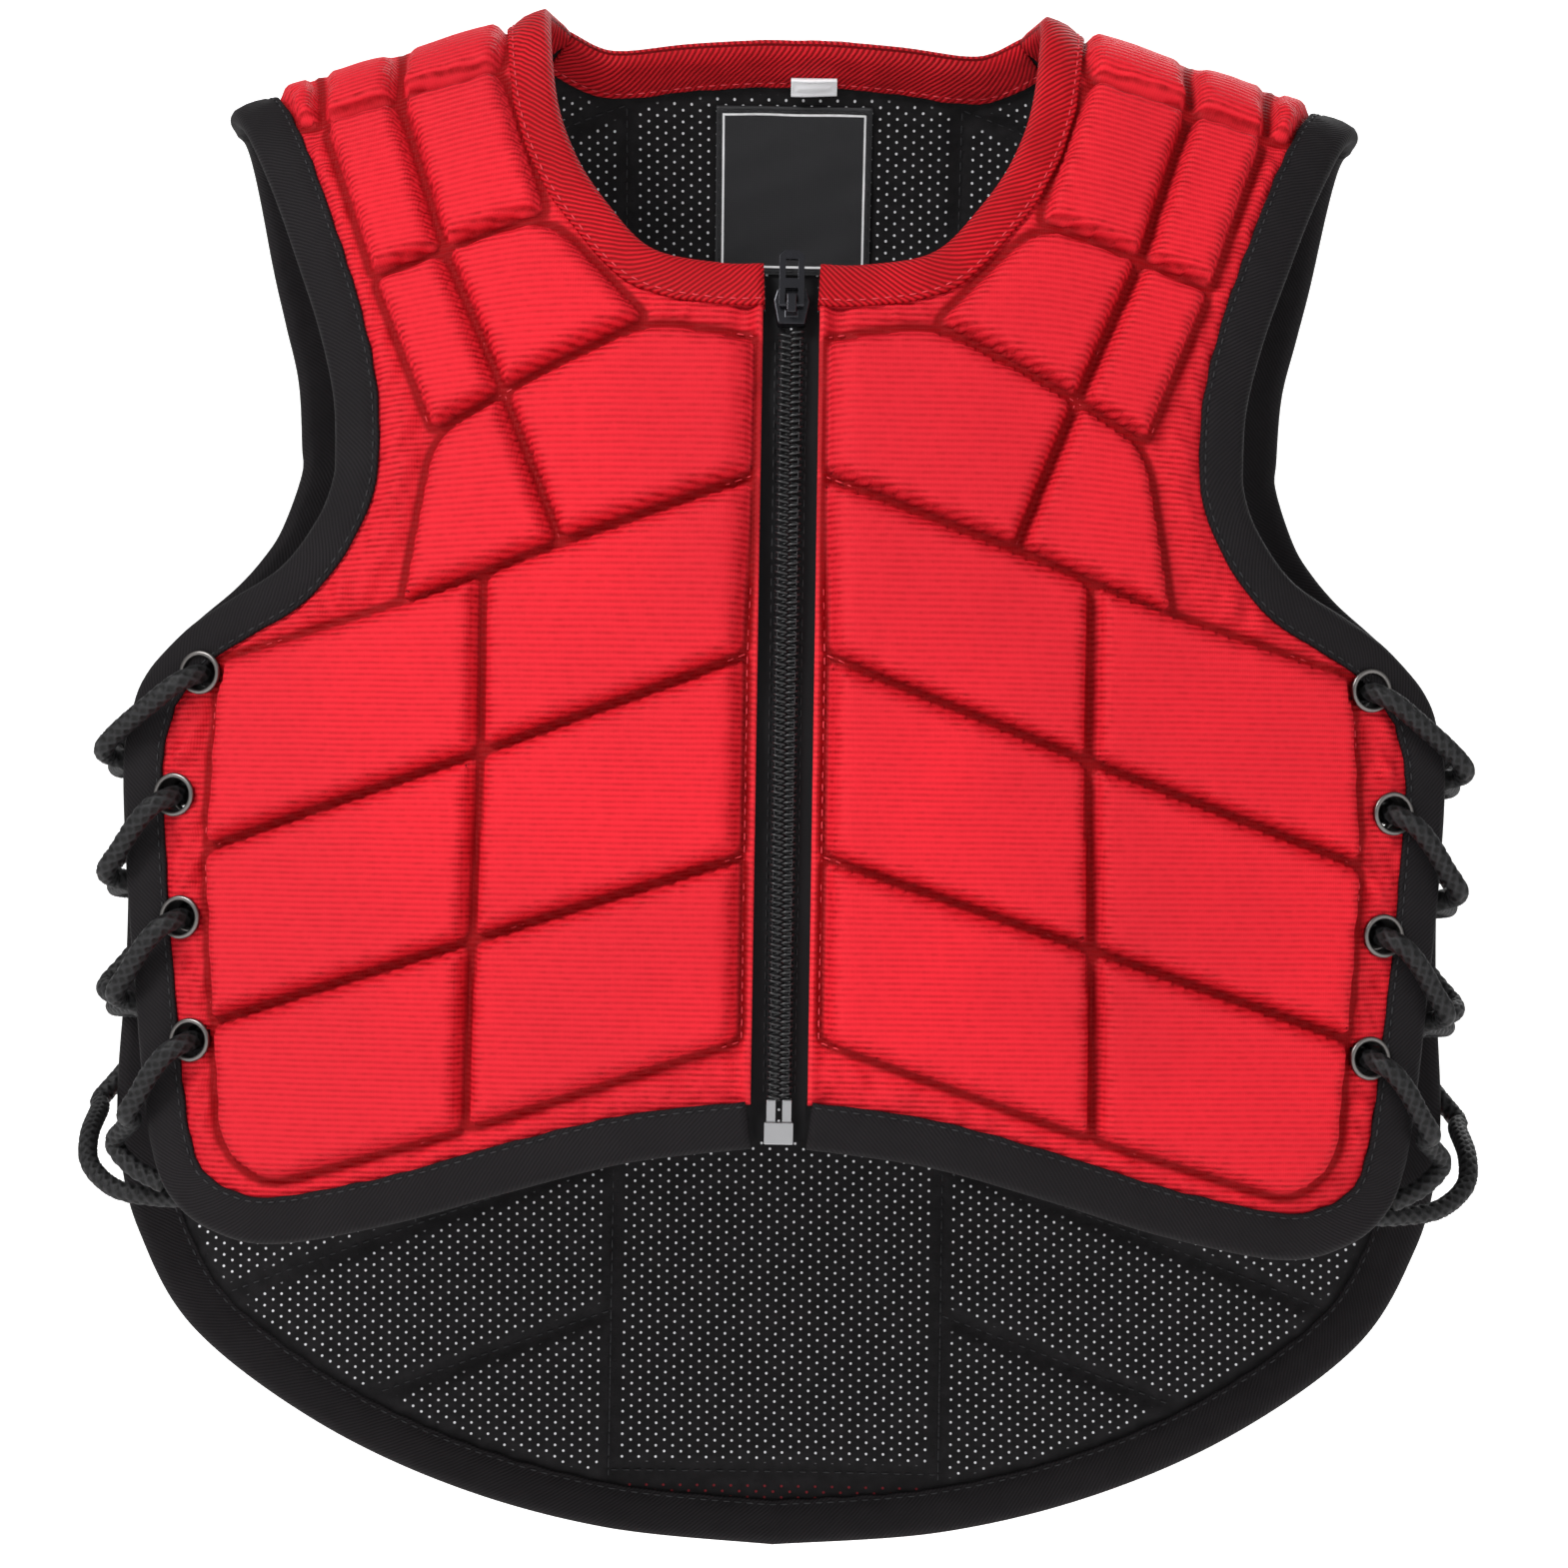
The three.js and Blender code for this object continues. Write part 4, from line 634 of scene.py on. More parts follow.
# Node helpers
class Shader:
    """A material's nodes, joined by short calls."""

    def __init__(self, name, colour, roughness, metallic=0.0):
        self.material = bpy.data.materials.new(name)
        self.material.use_nodes = True
        self.tree = self.material.node_tree
        self.bsdf = self.tree.nodes["Principled BSDF"]
        self.set("Base Color", (*colour, 1))
        self.set("Roughness", roughness)
        self.set("Metallic", metallic)
        self.material.diffuse_color = (*colour, 1)

    def set(self, socket, value):
        self.bsdf.inputs[socket].default_value = value

    def value(self, key):
        node = self.tree.nodes.new("ShaderNodeAttribute")
        node.attribute_name = key
        return node.outputs["Fac"]

    def math(self, kind, a, b=None, c=None):
        node = self.tree.nodes.new("ShaderNodeMath")
        node.operation = kind
        for number, value in enumerate([a, b, c]):
            if value is None:
                continue
            if isinstance(value, (int, float)):
                node.inputs[number].default_value = value
            else:
                self.tree.links.new(value, node.inputs[number])
        return node.outputs[0]

    def noise(self, scale, detail):
        node = self.tree.nodes.new("ShaderNodeTexNoise")
        node.inputs["Scale"].default_value = scale
        node.inputs["Detail"].default_value = detail
        place = self.tree.nodes.new("ShaderNodeTexCoord").outputs["Object"]
        self.tree.links.new(place, node.inputs["Vector"])
        return node.outputs["Fac"]

    def band(self, value, low, high, low_out=0.0, high_out=1.0):
        node = self.tree.nodes.new("ShaderNodeMapRange")
        node.interpolation_type = "SMOOTHSTEP"
        limits = {"From Min": low, "From Max": high, "To Min": low_out, "To Max": high_out}
        for socket, number in limits.items():
            node.inputs[socket].default_value = number
        self.tree.links.new(value, node.inputs["Value"])
        return node.outputs["Result"]

    def mix(self, factor, a, b):
        node = self.tree.nodes.new("ShaderNodeMix")
        node.data_type = "RGBA"
        self.tree.links.new(factor, node.inputs["Factor"])
        for socket, value in [(node.inputs["A"], a), (node.inputs["B"], b)]:
            if isinstance(value, tuple):
                socket.default_value = (*value, 1)
            else:
                self.tree.links.new(value, socket)
        return node.outputs["Result"]

    def colour(self, value):
        self.tree.links.new(value, self.bsdf.inputs["Base Color"])

    def roughness(self, value):
        self.tree.links.new(value, self.bsdf.inputs["Roughness"])

    def bump(self, value, strength, distance=0.0001):
        node = self.tree.nodes.new("ShaderNodeBump")
        node.inputs["Strength"].default_value = strength
        node.inputs["Distance"].default_value = distance
        self.tree.links.new(value, node.inputs["Height"])
        if self.bsdf.inputs["Normal"].is_linked:
            before = self.bsdf.inputs["Normal"].links[0].from_socket
            self.tree.links.new(before, node.inputs["Normal"])
        self.tree.links.new(node.outputs["Normal"], self.bsdf.inputs["Normal"])


def wave(shader, value, pitch):
    """A sine from 0 to 1 with the given pitch in millimetres."""
    turns = shader.math("MULTIPLY", value, 2 * math.pi / pitch)
    return shader.math("MULTIPLY_ADD", shader.math("SINE", turns), 0.5, 0.5)


# Pitches of the weaves in millimetres, and colours
RIB_PITCH = 1.45
THREAD_PITCH = 0.6
HOLE_PITCH = 4.5
HOLE_ROWS = 1.49
LABEL_HALF = (20.5, 21.5)
LABEL_FRAME = 1.9
RED = (0.585, 0.014, 0.025)
# Dark red for the ribs' dark threads, and for the painted shade in the channels between the pads and on the
# pads' slopes.
RED_DARK = (0.20, 0.0004, 0.0015)
# Painted highlight: a brighter red laid along the fold at the zip edge.
RED_FOLD_HIGHLIGHT = (0.85, 0.045, 0.06)
RED_BRIGHT = (0.70, 0.015, 0.027)
BLACK = (0.005, 0.0045, 0.005)


def red_fabric():
    """Woven cloth with fine ribs across, painted shade in the channels between the pads and on the pads'
    slopes, and a painted highlight along the fold at the zip.
    """
    shader = Shader("red_fabric", RED, 0.6)
    wobble = shader.math("MULTIPLY", shader.noise(55, 2), 0.5)
    ribs = wave(shader, shader.math("ADD", shader.value("level"), wobble), RIB_PITCH)
    threads = wave(shader, shader.value("round"), THREAD_PITCH)
    weave = shader.math("MULTIPLY_ADD", threads, 0.25, ribs)
    patches = shader.band(shader.noise(9, 3), 0.35, 0.68)
    base = shader.mix(patches, RED, RED_BRIGHT)
    # Painted shade: within about 2 mm of each channel between the pads the red is darkened up to 0.9 of the
    # way to RED_DARK, as shade in the recess; sewn is the mask of this painted shade.
    from_seam = shader.math("ABSOLUTE", shader.math("ADD", shader.value("pad"), CHANNEL / 2))
    sewn = shader.band(from_seam, 0.5, 1.8, 0.9, 0.0)
    shaded = shader.mix(sewn, base, RED_DARK)
    flecks = shader.band(shader.noise(420, 3), 0.3, 0.75, 0.45, 1.0)
    # Painted shade: the ribs' dark marks are the weave's own pattern, but they are made stronger on the pads'
    # slopes (0.85) than on their crowns (0.42), so the slopes are painted darker.
    slope_shade = shader.band(shader.value("pad"), 1.5, 4.5, 0.85, 0.42)
    grain = shader.math("MULTIPLY", shader.band(weave, 0.1, 1.0, 1.0, 0.0), flecks)
    grain = shader.math("MULTIPLY", grain, slope_shade)
    # ribbed holds the weave's ribs together with the painted shade of the channels and slopes.
    ribbed = shader.mix(grain, shaded, RED_DARK)
    # Painted highlight: the red turns brighter along the fold at the zip edge, masked by the fold value.
    shader.colour(shader.mix(shader.band(shader.value("fold"), 0.4, 0.9), ribbed, RED_FOLD_HIGHLIGHT))
    shader.bump(weave, 0.7, 0.0003)
    shader.bump(shader.noise(900, 2), 0.25)
    shader.set("Specular IOR Level", 0.1)
    return shader.material


def from_middle(shader, count, pitch):
    """How far a place is from the middle of its step, in millimetres."""
    share = shader.math("SUBTRACT", shader.math("FRACT", count), 0.5)
    return shader.math("MULTIPLY", share, pitch)


def lining_mesh():
    """Black cloth with rows of small holes that show the foam."""
    shader = Shader("lining_mesh", BLACK, 0.85)
    row = shader.math("DIVIDE", shader.value("level"), HOLE_ROWS)
    number = shader.math("FLOOR", row)
    shifted = shader.math("MULTIPLY", shader.math("MODULO", shader.math("ABSOLUTE", number), 2.0), 0.5)
    place = shader.math("ADD", shader.math("DIVIDE", shader.value("round"), HOLE_PITCH), shifted)
    offsets = [from_middle(shader, place, HOLE_PITCH), from_middle(shader, row, HOLE_ROWS)]
    far = shader.math("SQRT", shader.math("ADD", *[shader.math("POWER", value, 2.0) for value in offsets]))
    hole = shader.band(far, 0.28, 0.4, 1.0, 0.0)
    foam = shader.band(shader.value("pad"), 0.6, 1.6)
    margin = shader.band(shader.value("pad"), -5.5, -4.0, 1.0, 0.0)
    cloth = shader.mix(shader.band(shader.noise(260, 2), 0.3, 0.8), BLACK, (0.010, 0.009, 0.010))
    spots = shader.mix(shader.math("MULTIPLY", hole, foam), cloth, (0.62, 0.62, 0.64))
    shader.colour(shader.mix(shader.math("MULTIPLY", hole, margin), spots, (0.16, 0.01, 0.015)))
    shader.bump(shader.math("MULTIPLY", hole, -1.0), 0.35, 0.0002)
    shader.bump(shader.noise(1100, 2), 0.3)
    shader.set("Specular IOR Level", 0.2)
    return shader.material


def tape_material(name, dark, light, pitch, slant, roughness, relief):
    """Woven tape with slanting ribs."""
    shader = Shader(name, dark, roughness)
    value = shader.math("MULTIPLY_ADD", shader.value("round"), slant, shader.value("level"))
    ribs = wave(shader, value, pitch)
    worn = shader.band(shader.noise(60, 4), 0.3, 0.75)
    tone = shader.math("MULTIPLY", shader.band(ribs, 0.0, 0.8), shader.band(worn, 0.0, 1.0, 0.7, 1.0))
    shader.colour(shader.mix(tone, dark, light))
    shader.bump(ribs, relief, 0.0003)
    shader.bump(shader.noise(1300, 2), 0.2)
    shader.set("Specular IOR Level", 0.12)
    return shader.material


def plain(name, colour, roughness, metallic=0.0, grain=0.0, scale=900):
    shader = Shader(name, colour, roughness, metallic)
    if grain:
        shader.bump(shader.noise(scale, 3), grain)
        patches = shader.noise(scale / 6, 3)
        shader.roughness(shader.band(patches, 0.2, 0.8, roughness * 0.85, roughness * 1.15))
    return shader.material


def lace_material():
    """Braid with painted shade between its strands."""
    shader = Shader("lace_braid", (0.01, 0.01, 0.011), 0.6)
    raised = shader.band(shader.value("relief"), -0.1, 0.18)
    # Painted shade: the grooves between the strands are about ten times darker than the strands' tops.
    shader.colour(shader.mix(raised, (0.0012, 0.0012, 0.0012), (0.0125, 0.0122, 0.0135)))
    shader.bump(shader.noise(1800, 3), 0.4)
    shader.set("Specular IOR Level", 0.3)
    return shader.material


def label_material():
    """Dark cloth with a plain pale frame line."""
    shader = Shader("label_fabric", (0.03, 0.03, 0.034), 0.6)
    across = shader.math("ABSOLUTE", shader.value("round"))
    down = shader.math("ABSOLUTE", shader.value("level"))
    beyond = [shader.math("SUBTRACT", value, half) for value, half in zip([across, down], LABEL_HALF)]
    rim = shader.math("MAXIMUM", *beyond)
    line = shader.band(shader.math("ABSOLUTE", shader.math("ADD", rim, LABEL_FRAME)), 0.22, 0.34, 1.0, 0.0)
    cloth = (0.014, 0.014, 0.016)
    shader.colour(shader.mix(line, cloth, (0.85, 0.85, 0.86)))
    threads = [wave(shader, shader.value(key), 0.5) for key in ("round", "level")]
    weave = shader.math("ADD", *threads)
    shader.bump(weave, 0.2, 0.00008)
    return shader.material


MATERIALS = {
    "red": red_fabric(),
    "lining": lining_mesh(),
    "binding": tape_material(
        "black_binding", (0.0048, 0.004, 0.0046), (0.0115, 0.0098, 0.011), 1.1, 0.9, 0.75, 0.3,
    ),
    "neck": tape_material("red_binding", (0.19, 0.0006, 0.002), (0.58, 0.008, 0.017), 1.4, 0.9, 0.62, 1.0),
    "tape": tape_material("zip_tape", (0.006, 0.006, 0.0065), (0.014, 0.014, 0.015), 0.7, 0.5, 0.8, 0.35),
    "coil": plain("zip_coil", (0.010, 0.010, 0.011), 0.35),
    "silver": plain("silver_metal", (0.36, 0.36, 0.37), 0.3, 1.0, 0.08, 300),
    "black_metal": plain("black_metal", (0.018, 0.018, 0.022), 0.28, 0.6, 0.06, 300),
    "eyelet": plain("eyelet_metal", (0.16, 0.15, 0.145), 0.36, 1.0, 0.12, 500),
    "lace": lace_material(),
    "thread_red": plain("red_thread", (0.62, 0.03, 0.045), 0.6, 0.0, 0.3, 2500),
    "thread_black": plain("black_thread", (0.012, 0.012, 0.014), 0.6, 0.0, 0.3, 2500),
    "label": label_material(),
    "tag": plain("tag_fabric", (0.78, 0.78, 0.8), 0.6, 0.0, 0.3, 1500),
}


# Panels
FRONT_GRID = 1.1
BACK_GRID = 1.75
SIDE_MARGIN = 2
FOLD_PLACE = 1.2
FOLD_WIDTH = 1.1
FOLD_RISE = 1.2
GROOVE_PLACE = 4.2
GROOVE_WIDTH = 2.6
GROOVE_DEPTH = 1.7
CREASE = 1.7
CREASE_LENGTH = 7.5
CREASE_REACH = 16
CREASE_REST = 0.3
BLOCK_RISE = 1.3
BLOCK_ROUND = 3.5


def front_panels():
    outline = np.vstack([front_neck, front_edge])
    s_lines = lines(ZIP_EDGE, FRONT_SIDE + SIDE_MARGIN, FRONT_GRID)
    w_lines = lines(SEAM_BACK, -FRONT_DROP - HEM_DIP - SIDE_MARGIN, FRONT_GRID)[::-1]
    fields = panel_fields(s_lines, w_lines, front_pads(), FRONT_BOUND, -1, front_eyelets, 21)
    S, W, pad, pucker, shown, cloth_rim = fields
    from_zip = S - ZIP_EDGE
    fold = bell(from_zip - FOLD_PLACE, FOLD_WIDTH)
    top = outer_height(S, W, pad, pucker, shown, 5)
    top = top + FOLD_RISE * fold - GROOVE_DEPTH * bell(from_zip - GROOVE_PLACE, GROOVE_WIDTH)
    top = np.maximum(top, 0.4)
    top, near = under_rings(S, W, top, front_eyelets)
    creased = CREASE_REST + (1 - CREASE_REST) * bell(near, CREASE_REACH)
    creased = creased * unit((near - RING_PRESS) / 3)
    creased = creased * unit(-pad / 2.5) * unit((shown - UNDER_TAPE) / 1.5)
    top = top + CREASE * creased * waves(S + 0.6 * W, 0.4 * W, CREASE_LENGTH, 77)
    bottom = np.full(S.shape, -BASE_HALF) - 0.8 * unit(pad / 6) * (shown > UNDER_TAPE)
    keep = kept_cells(s_lines, w_lines, outline, cloth_rim, front_eyelets)
    keep &= (cell_centres(S) > ZIP_EDGE + 2.6) | (cell_centres(shown) > -0.8)
    # The fold value is the mask of the painted highlight along the zip's fold.
    values = {"round": S, "level": W, "pad": pad, "fold": bell(from_zip - 0.5, 0.7)}
    cloths = [MATERIALS["red"], MATERIALS["lining"]]
    for end, mirror in PAIR:
        obj = grid_solid(f"front_panel{end}", s_lines, w_lines, keep, top, bottom, values, cloths, mirror)
        dress(obj, "red_fabric", f"front_shell{end}")


def back_panels():
    outline = np.vstack([back_neck, back_edge])
    s_lines = lines(-BACK_SIDE - SIDE_MARGIN, BACK_SIDE + SIDE_MARGIN, BACK_GRID)
    w_lines = lines(BACK_TOP, BACK_DROP + SIDE_MARGIN, BACK_GRID)
    fields = panel_fields(s_lines, w_lines, back_pads(), BACK_BOUND, 1, all_back_eyelets, 33)
    S, W, pad, pucker, shown, cloth_rim = fields
    keep = kept_cells(s_lines, w_lines, outline, cloth_rim, all_back_eyelets)
    values = {"round": S, "level": W, "pad": pad}
    top, _ = under_rings(S, W, outer_height(S, W, pad, pucker, shown, 8), all_back_eyelets)
    parting = np.full(S.shape, 0.3)
    outer = grid_solid("back_panel", s_lines, w_lines, keep, top, parting, values, [MATERIALS["red"]])
    dress(outer, "red_fabric", "back_shell")
    block = BLOCK_RISE * np.sqrt(1 - (1 - unit(pad / BLOCK_ROUND)) ** 2)
    creases = 0.3 * pucker * bell(pad, BLOCK_ROUND) + 0.25 * waves(S, W, 30, 12)
    face = np.where(shown < UNDER_TAPE, -BASE_HALF, -1.4 - block - 0.4 * creases)
    inner = grid_solid("back_inner", s_lines, w_lines, keep, -parting, face, values, [MATERIALS["lining"]])
    dress(inner, "lining_mesh", "back_lining")


# Bindings
TAPE_HEIGHT = 3.0
SEWN_IN = 1.3
SEWN_HEIGHT = 2.85


def section(cover):
    """Cross-section of a folded tape as (distance in from the edge, height), closed."""
    high = TAPE_HEIGHT
    half = [
        (cover, 1.9), (cover - 0.05, high - 0.35), (cover - 0.6, high - 0.05), (cover - SEWN_IN, high - 0.35),
        (cover - 2.1, high), (cover * 0.55, high + 0.1), (cover * 0.3, high), (1.2, high - 0.12),
        (0.1, high - 0.55), (-0.75, 1.6), (-1.2, 0.7),
    ]
    inner = [(cover - 0.4, -1.65), (1.2, -1.65), (0.35, -0.8), (0.35, 0.8), (1.2, 1.65), (cover - 0.4, 1.65)]
    return half + [(-1.3, 0.0)] + [(u, -h) for u, h in reversed(half)] + inner


def inward_normals(line):
    direction = np.gradient(line, axis=0)
    direction /= np.linalg.norm(direction, axis=1, keepdims=True)
    return np.stack([-direction[:, 1], direction[:, 0]], 1)


def binding(name, line, cover, material, slot, node, seed, mirror=False):
    """A tape folded round an edge whose cloth lies on its left."""
    profile = np.array(section(cover))
    normals = inward_normals(line)
    count, sides = len(line), len(profile)
    length = running_length(line)
    crumple = waves(length, 0 * length, 9, seed)[:, None]
    u = np.broadcast_to(profile[:, 0], (count, sides)) + 0.15 * crumple * (profile[:, 0] > 5)
    outside = (np.abs(profile[:, 1]) > 1.8) & (profile[:, 0] > 0)
    slower = waves(length[:, None], 3 * profile[None, :, 0], 7, seed + 1)
    high = profile[None, :, 1] + np.sign(profile[:, 1]) * outside * 0.16 * slower
    S = line[:, 0:1] + normals[:, 0:1] * u
    W = line[:, 1:2] + normals[:, 1:2] * u
    points = chart(S, W, high).reshape(-1, 3)
    across = profile[:, 0] + 9 * (profile[:, 1] < 0)
    values = {"round": np.repeat(length, sides), "level": np.tile(across, count)}
    obj = new_mesh(name, points, swept_faces(count, sides), [material], values=values, mirror=mirror)
    return dress(obj, slot, node)


STITCH_LENGTH = 2.1
STITCH_PITCH = 3.1
THREAD = 0.26
FINE_THREAD = 0.2
SEAM_THREAD_HEIGHT = 0.95
INNER_THREAD_HEIGHT = -1.45


def stitches(name, runs, thread, slot, radius=THREAD, mirror=False):
    """Short raised threads along runs of (pattern polyline, height)."""
    ring = [(0.8, 0), (0, 0.8), (-0.8, 0), (0, -0.8)]
    rings = [(end, *place) for end in (-0.6, 0.6) for place in ring]
    shape = np.array([(-1, 0, -0.6), *rings, (1, 0, -0.6)])
    quads = [[1, 2, 6, 5], [2, 3, 7, 6], [3, 4, 8, 7], [4, 1, 5, 8]]
    tips = [[0, 2, 1], [0, 3, 2], [0, 4, 3], [0, 1, 4], [9, 5, 6], [9, 6, 7], [9, 7, 8], [9, 8, 5]]
    points = []
    faces = []
    for line, high in runs:
        path = even(np.asarray(line, float), STITCH_PITCH)
        middle = (path[:-1] + path[1:]) / 2
        direction = path[1:] - path[:-1]
        direction /= np.linalg.norm(direction, axis=1, keepdims=True)
        reach = middle + STITCH_LENGTH / 2 * direction
        centre = chart(*middle.T, high)
        ahead = chart(*reach.T, high) - centre
        up = wall_normal(*middle.T) * np.sign(high)
        side = np.cross(ahead, up)
        side /= np.linalg.norm(side, axis=1, keepdims=True)
        for o, a, b, c in zip(centre, ahead, side, up):
            join(points, faces, o + shape @ np.stack([a, b * radius, c * radius]), quads + tips)
    return dress(new_mesh(name, points, faces, [MATERIALS[thread]], mirror=mirror), slot)


def seam_runs(pads, outline, edges, places, high):
    """Each edge of a pad once, as far as it is clear of the bound edges and eyelets."""
    seen = set()
    runs = []
    for pad in pads:
        for a, b in zip(pad, pad[1:] + pad[:1]):
            key = tuple(sorted([(round(a[0]), round(a[1])), (round(b[0]), round(b[1]))]))
            if key in seen:
                continue
            seen.add(key)
            line = even(np.array([a, b], float), STITCH_PITCH)
            clear = inside(line, outline)
            for edge, cover in edges:
                clear &= to_line(line, edge[::2])[0] > cover + 1
            for s, w in places:
                clear &= np.hypot(line[:, 0] - s, line[:, 1] - w) > EYELET_CLEAR
            piece = line[clear]
            if len(piece) > 2:
                runs.append((piece, high))
    return runs


def offset(line, distance):
    return line + inward_normals(line) * distance


def bindings():
    kinds = [
        ("front_binding", front_edge, BIND_COVER, "black", PAIR, 50),
        ("neck_binding_front", front_neck, NECK_COVER, "red", PAIR, 51),
        ("back_binding", back_edge, BIND_COVER, "black", SINGLE, 60),
        ("neck_binding_back", back_neck, NECK_COVER, "red", SINGLE, 61),
    ]
    for stem, line, cover, tint, ends, seed in kinds:
        material = MATERIALS["neck" if tint == "red" else "binding"]
        slot = f"{tint}_binding"
        sewn = offset(line, cover - SEWN_IN)
        runs = [(sewn, SEWN_HEIGHT), (sewn, -SEWN_HEIGHT)]
        for end, mirror in ends:
            binding(f"{stem}_tape{end}", line, cover, material, slot, f"{stem}{end}", seed, mirror)
            stitches(f"{stem}_stitches{end}", runs, f"thread_{tint}", slot, mirror=mirror)


def seams():
    outline = np.vstack([front_neck, front_edge])
    runs = seam_runs(front_pads(), outline, FRONT_BOUND, front_eyelets, SEAM_THREAD_HEIGHT)
    for end, mirror in PAIR:
        stitches(f"front_seams{end}", runs, "thread_red", "red_fabric", mirror=mirror)
    outline = np.vstack([back_neck, back_edge])
    runs = seam_runs(back_pads(), outline, BACK_BOUND, all_back_eyelets, SEAM_THREAD_HEIGHT)
    stitches("back_seams", runs, "thread_red", "red_fabric")
    inner = [(line, INNER_THREAD_HEIGHT) for line, _ in runs]
    stitches("back_inner_seams", inner, "thread_black", "lining_mesh")


# Round pieces
def tube(path, radius, sides, relief=None):
    """Points and faces of rings round a path in millimetres; relief gives the height of the skin."""
    direction = np.gradient(path, axis=0)
    direction /= np.linalg.norm(direction, axis=1, keepdims=True)
    across = np.cross(direction[0], (0.3, 0.2, 1.0))
    across /= np.linalg.norm(across)
    frames = []
    for d in direction:
        across = across - d * np.dot(across, d)
        across /= np.linalg.norm(across)
        frames.append(across)
    frames = np.array(frames)
    up = np.cross(direction, frames)
    turn = np.arange(sides) * 2 * math.pi / sides
    T, L = np.meshgrid(turn, running_length(path))
    R = radius + (relief(L, T) if relief else 0 * L)
    out = frames[:, None] * (R * np.cos(T))[..., None]
    points = path[:, None] + out + up[:, None] * (R * np.sin(T))[..., None]
    return points.reshape(-1, 3), swept_faces(len(path), sides)


def lace_point(wall, i, row):
    edge, places, side = LACE_WALLS[wall]
    out, high, down = row
    s, w = places[i]
    level = w + side * down
    shift = edge_at(edge, level) - EYELET_INSET - s
    return chart(s + out + shift * min(out / EYELET_INSET, 1), level, high)


LACE_WALLS = {"front": (front_edge, front_eyelets, -1), "back": (back_half, back_eyelets, 1)}


def lace_half(first):
    names = ["front", "back"] if first == "front" else ["back", "front"]
    points = [lace_point(first, 0, row) for row in reversed(LACE_BAR)]
    for i in range(EYELETS - 1):
        start, goal = names[i % 2], names[(i + 1) % 2]
        out = [lace_point(start, i, row) for row in LACE_OUT]
        inner = [lace_point(goal, i + 1, row) for row in LACE_IN]
        cross = (out[-1] + inner[0]) / 2
        cross[0] = CROSS_OUT[start]
        cross[1] = 0
        points += [*out, cross, *inner]
    last = names[(EYELETS - 1) % 2]
    points += [lace_point(last, EYELETS - 1, row) for row in LACE_OUT[:-1]]
    level = lace_point(last, EYELETS - 1, LACE_OUT[0])[2]
    ends = FRONT_END if last == "front" else BACK_END
    return points + [np.array([x, y, level + z]) for x, y, z in ends]


LACE_SIDES = 26
LACE_STEP = 0.55
BRAID_STRANDS = 5
BRAID_PITCH = 2.1
BRAID_RISE = 0.34


def braid(length, turn):
    """Raised strands of a round braid."""
    one = np.sin(BRAID_STRANDS * turn + length * BRAID_PITCH)
    two = np.sin(BRAID_STRANDS * turn - length * BRAID_PITCH)
    return BRAID_RISE * (np.maximum(one, two) - 0.4)


def laces():
    path = smooth(lace_half("front")[::-1] + lace_half("back"), LACE_STEP)
    points, faces = tube(path, LACE / 2, LACE_SIDES, braid)
    relief = np.linalg.norm(points - np.repeat(path, LACE_SIDES, axis=0), axis=1) - LACE / 2
    for end, mirror in PAIR:
        values = {"relief": relief}
        obj = new_mesh(f"lace_braid{end}", points, faces, [MATERIALS["lace"]], values=values, mirror=mirror)
        dress(obj, "lace_braid", f"lace{end}")


FRAME_REACH = 0.6
RING_SIDES = 48
# A ring's section as (distance from its axis, height)
RING = [
    (4.1, -3.0), (4.35, -3.45), (5.0, -3.7), (5.4, -3.45), (5.45, -3.05), (4.7, -3.0), (4.65, 2.9),
    (5.3, 3.1), (5.5, 3.4), (5.42, 3.8), (5.1, 4.05), (4.6, 4.1), (4.25, 3.95), (4.1, 3.5),
]


def local_frame(s, w):
    origin = chart(s, w, 0.0)
    normal = wall_normal(s, w)
    across = wall_point(s + FRAME_REACH, w) - wall_point(s - FRAME_REACH, w)
    along = np.cross(normal, across)
    along /= np.linalg.norm(along)
    return origin, np.stack([np.cross(along, normal), along, normal])


def eyelets():
    turn = np.arange(RING_SIDES) * 2 * math.pi / RING_SIDES
    shape = np.array([[(r * math.cos(t), r * math.sin(t), h) for r, h in RING] for t in turn]).reshape(-1, 3)
    n = len(RING)
    faces = []
    for i in range(RING_SIDES):
        for k in range(n):
            after, ahead = (k + 1) % n, (i + 1) % RING_SIDES
            faces.append([ahead * n + k, ahead * n + after, i * n + after, i * n + k])
    for wall, places in [("front", front_eyelets), ("back", back_eyelets)]:
        for end, mirror in PAIR:
            for i, (s, w) in enumerate(places):
                origin, axes = local_frame(-s if mirror else s, w)
                points = origin + shape @ axes
                obj = new_mesh(f"ring_{wall}{end}_{i + 1}", points, faces, [MATERIALS["eyelet"]])
                dress(obj, "eyelet_metal", f"eyelet_{wall}{end}_{i + 1}")


# Zip
CHAIN_TOP = -91.2
CHAIN_FOOT = -276.2
COIL_PITCH = 1.5
COIL_MIDDLE = 1.35
COIL_REACH = 1.6
COIL_HEIGHT = 0.95
COIL_WIRE = 0.36
COIL_STEPS = 14
COIL_SIDES = 6
COIL_START = 0.4
# Sewn lines on the tapes as (s, height)
ZIP_SEWN = [(-3.9, -1.5), (-2.3, 1.12), (2.3, 1.12), (3.9, -1.5)]
# Metal parts as (bevel in millimetres, material)
METAL_PARTS = {
    "zip_slider": (0.45, "black_metal"),
    "zip_pull": (0.35, "black_metal"),
    "zip_bottom_stop": (0.35, "silver"),
}


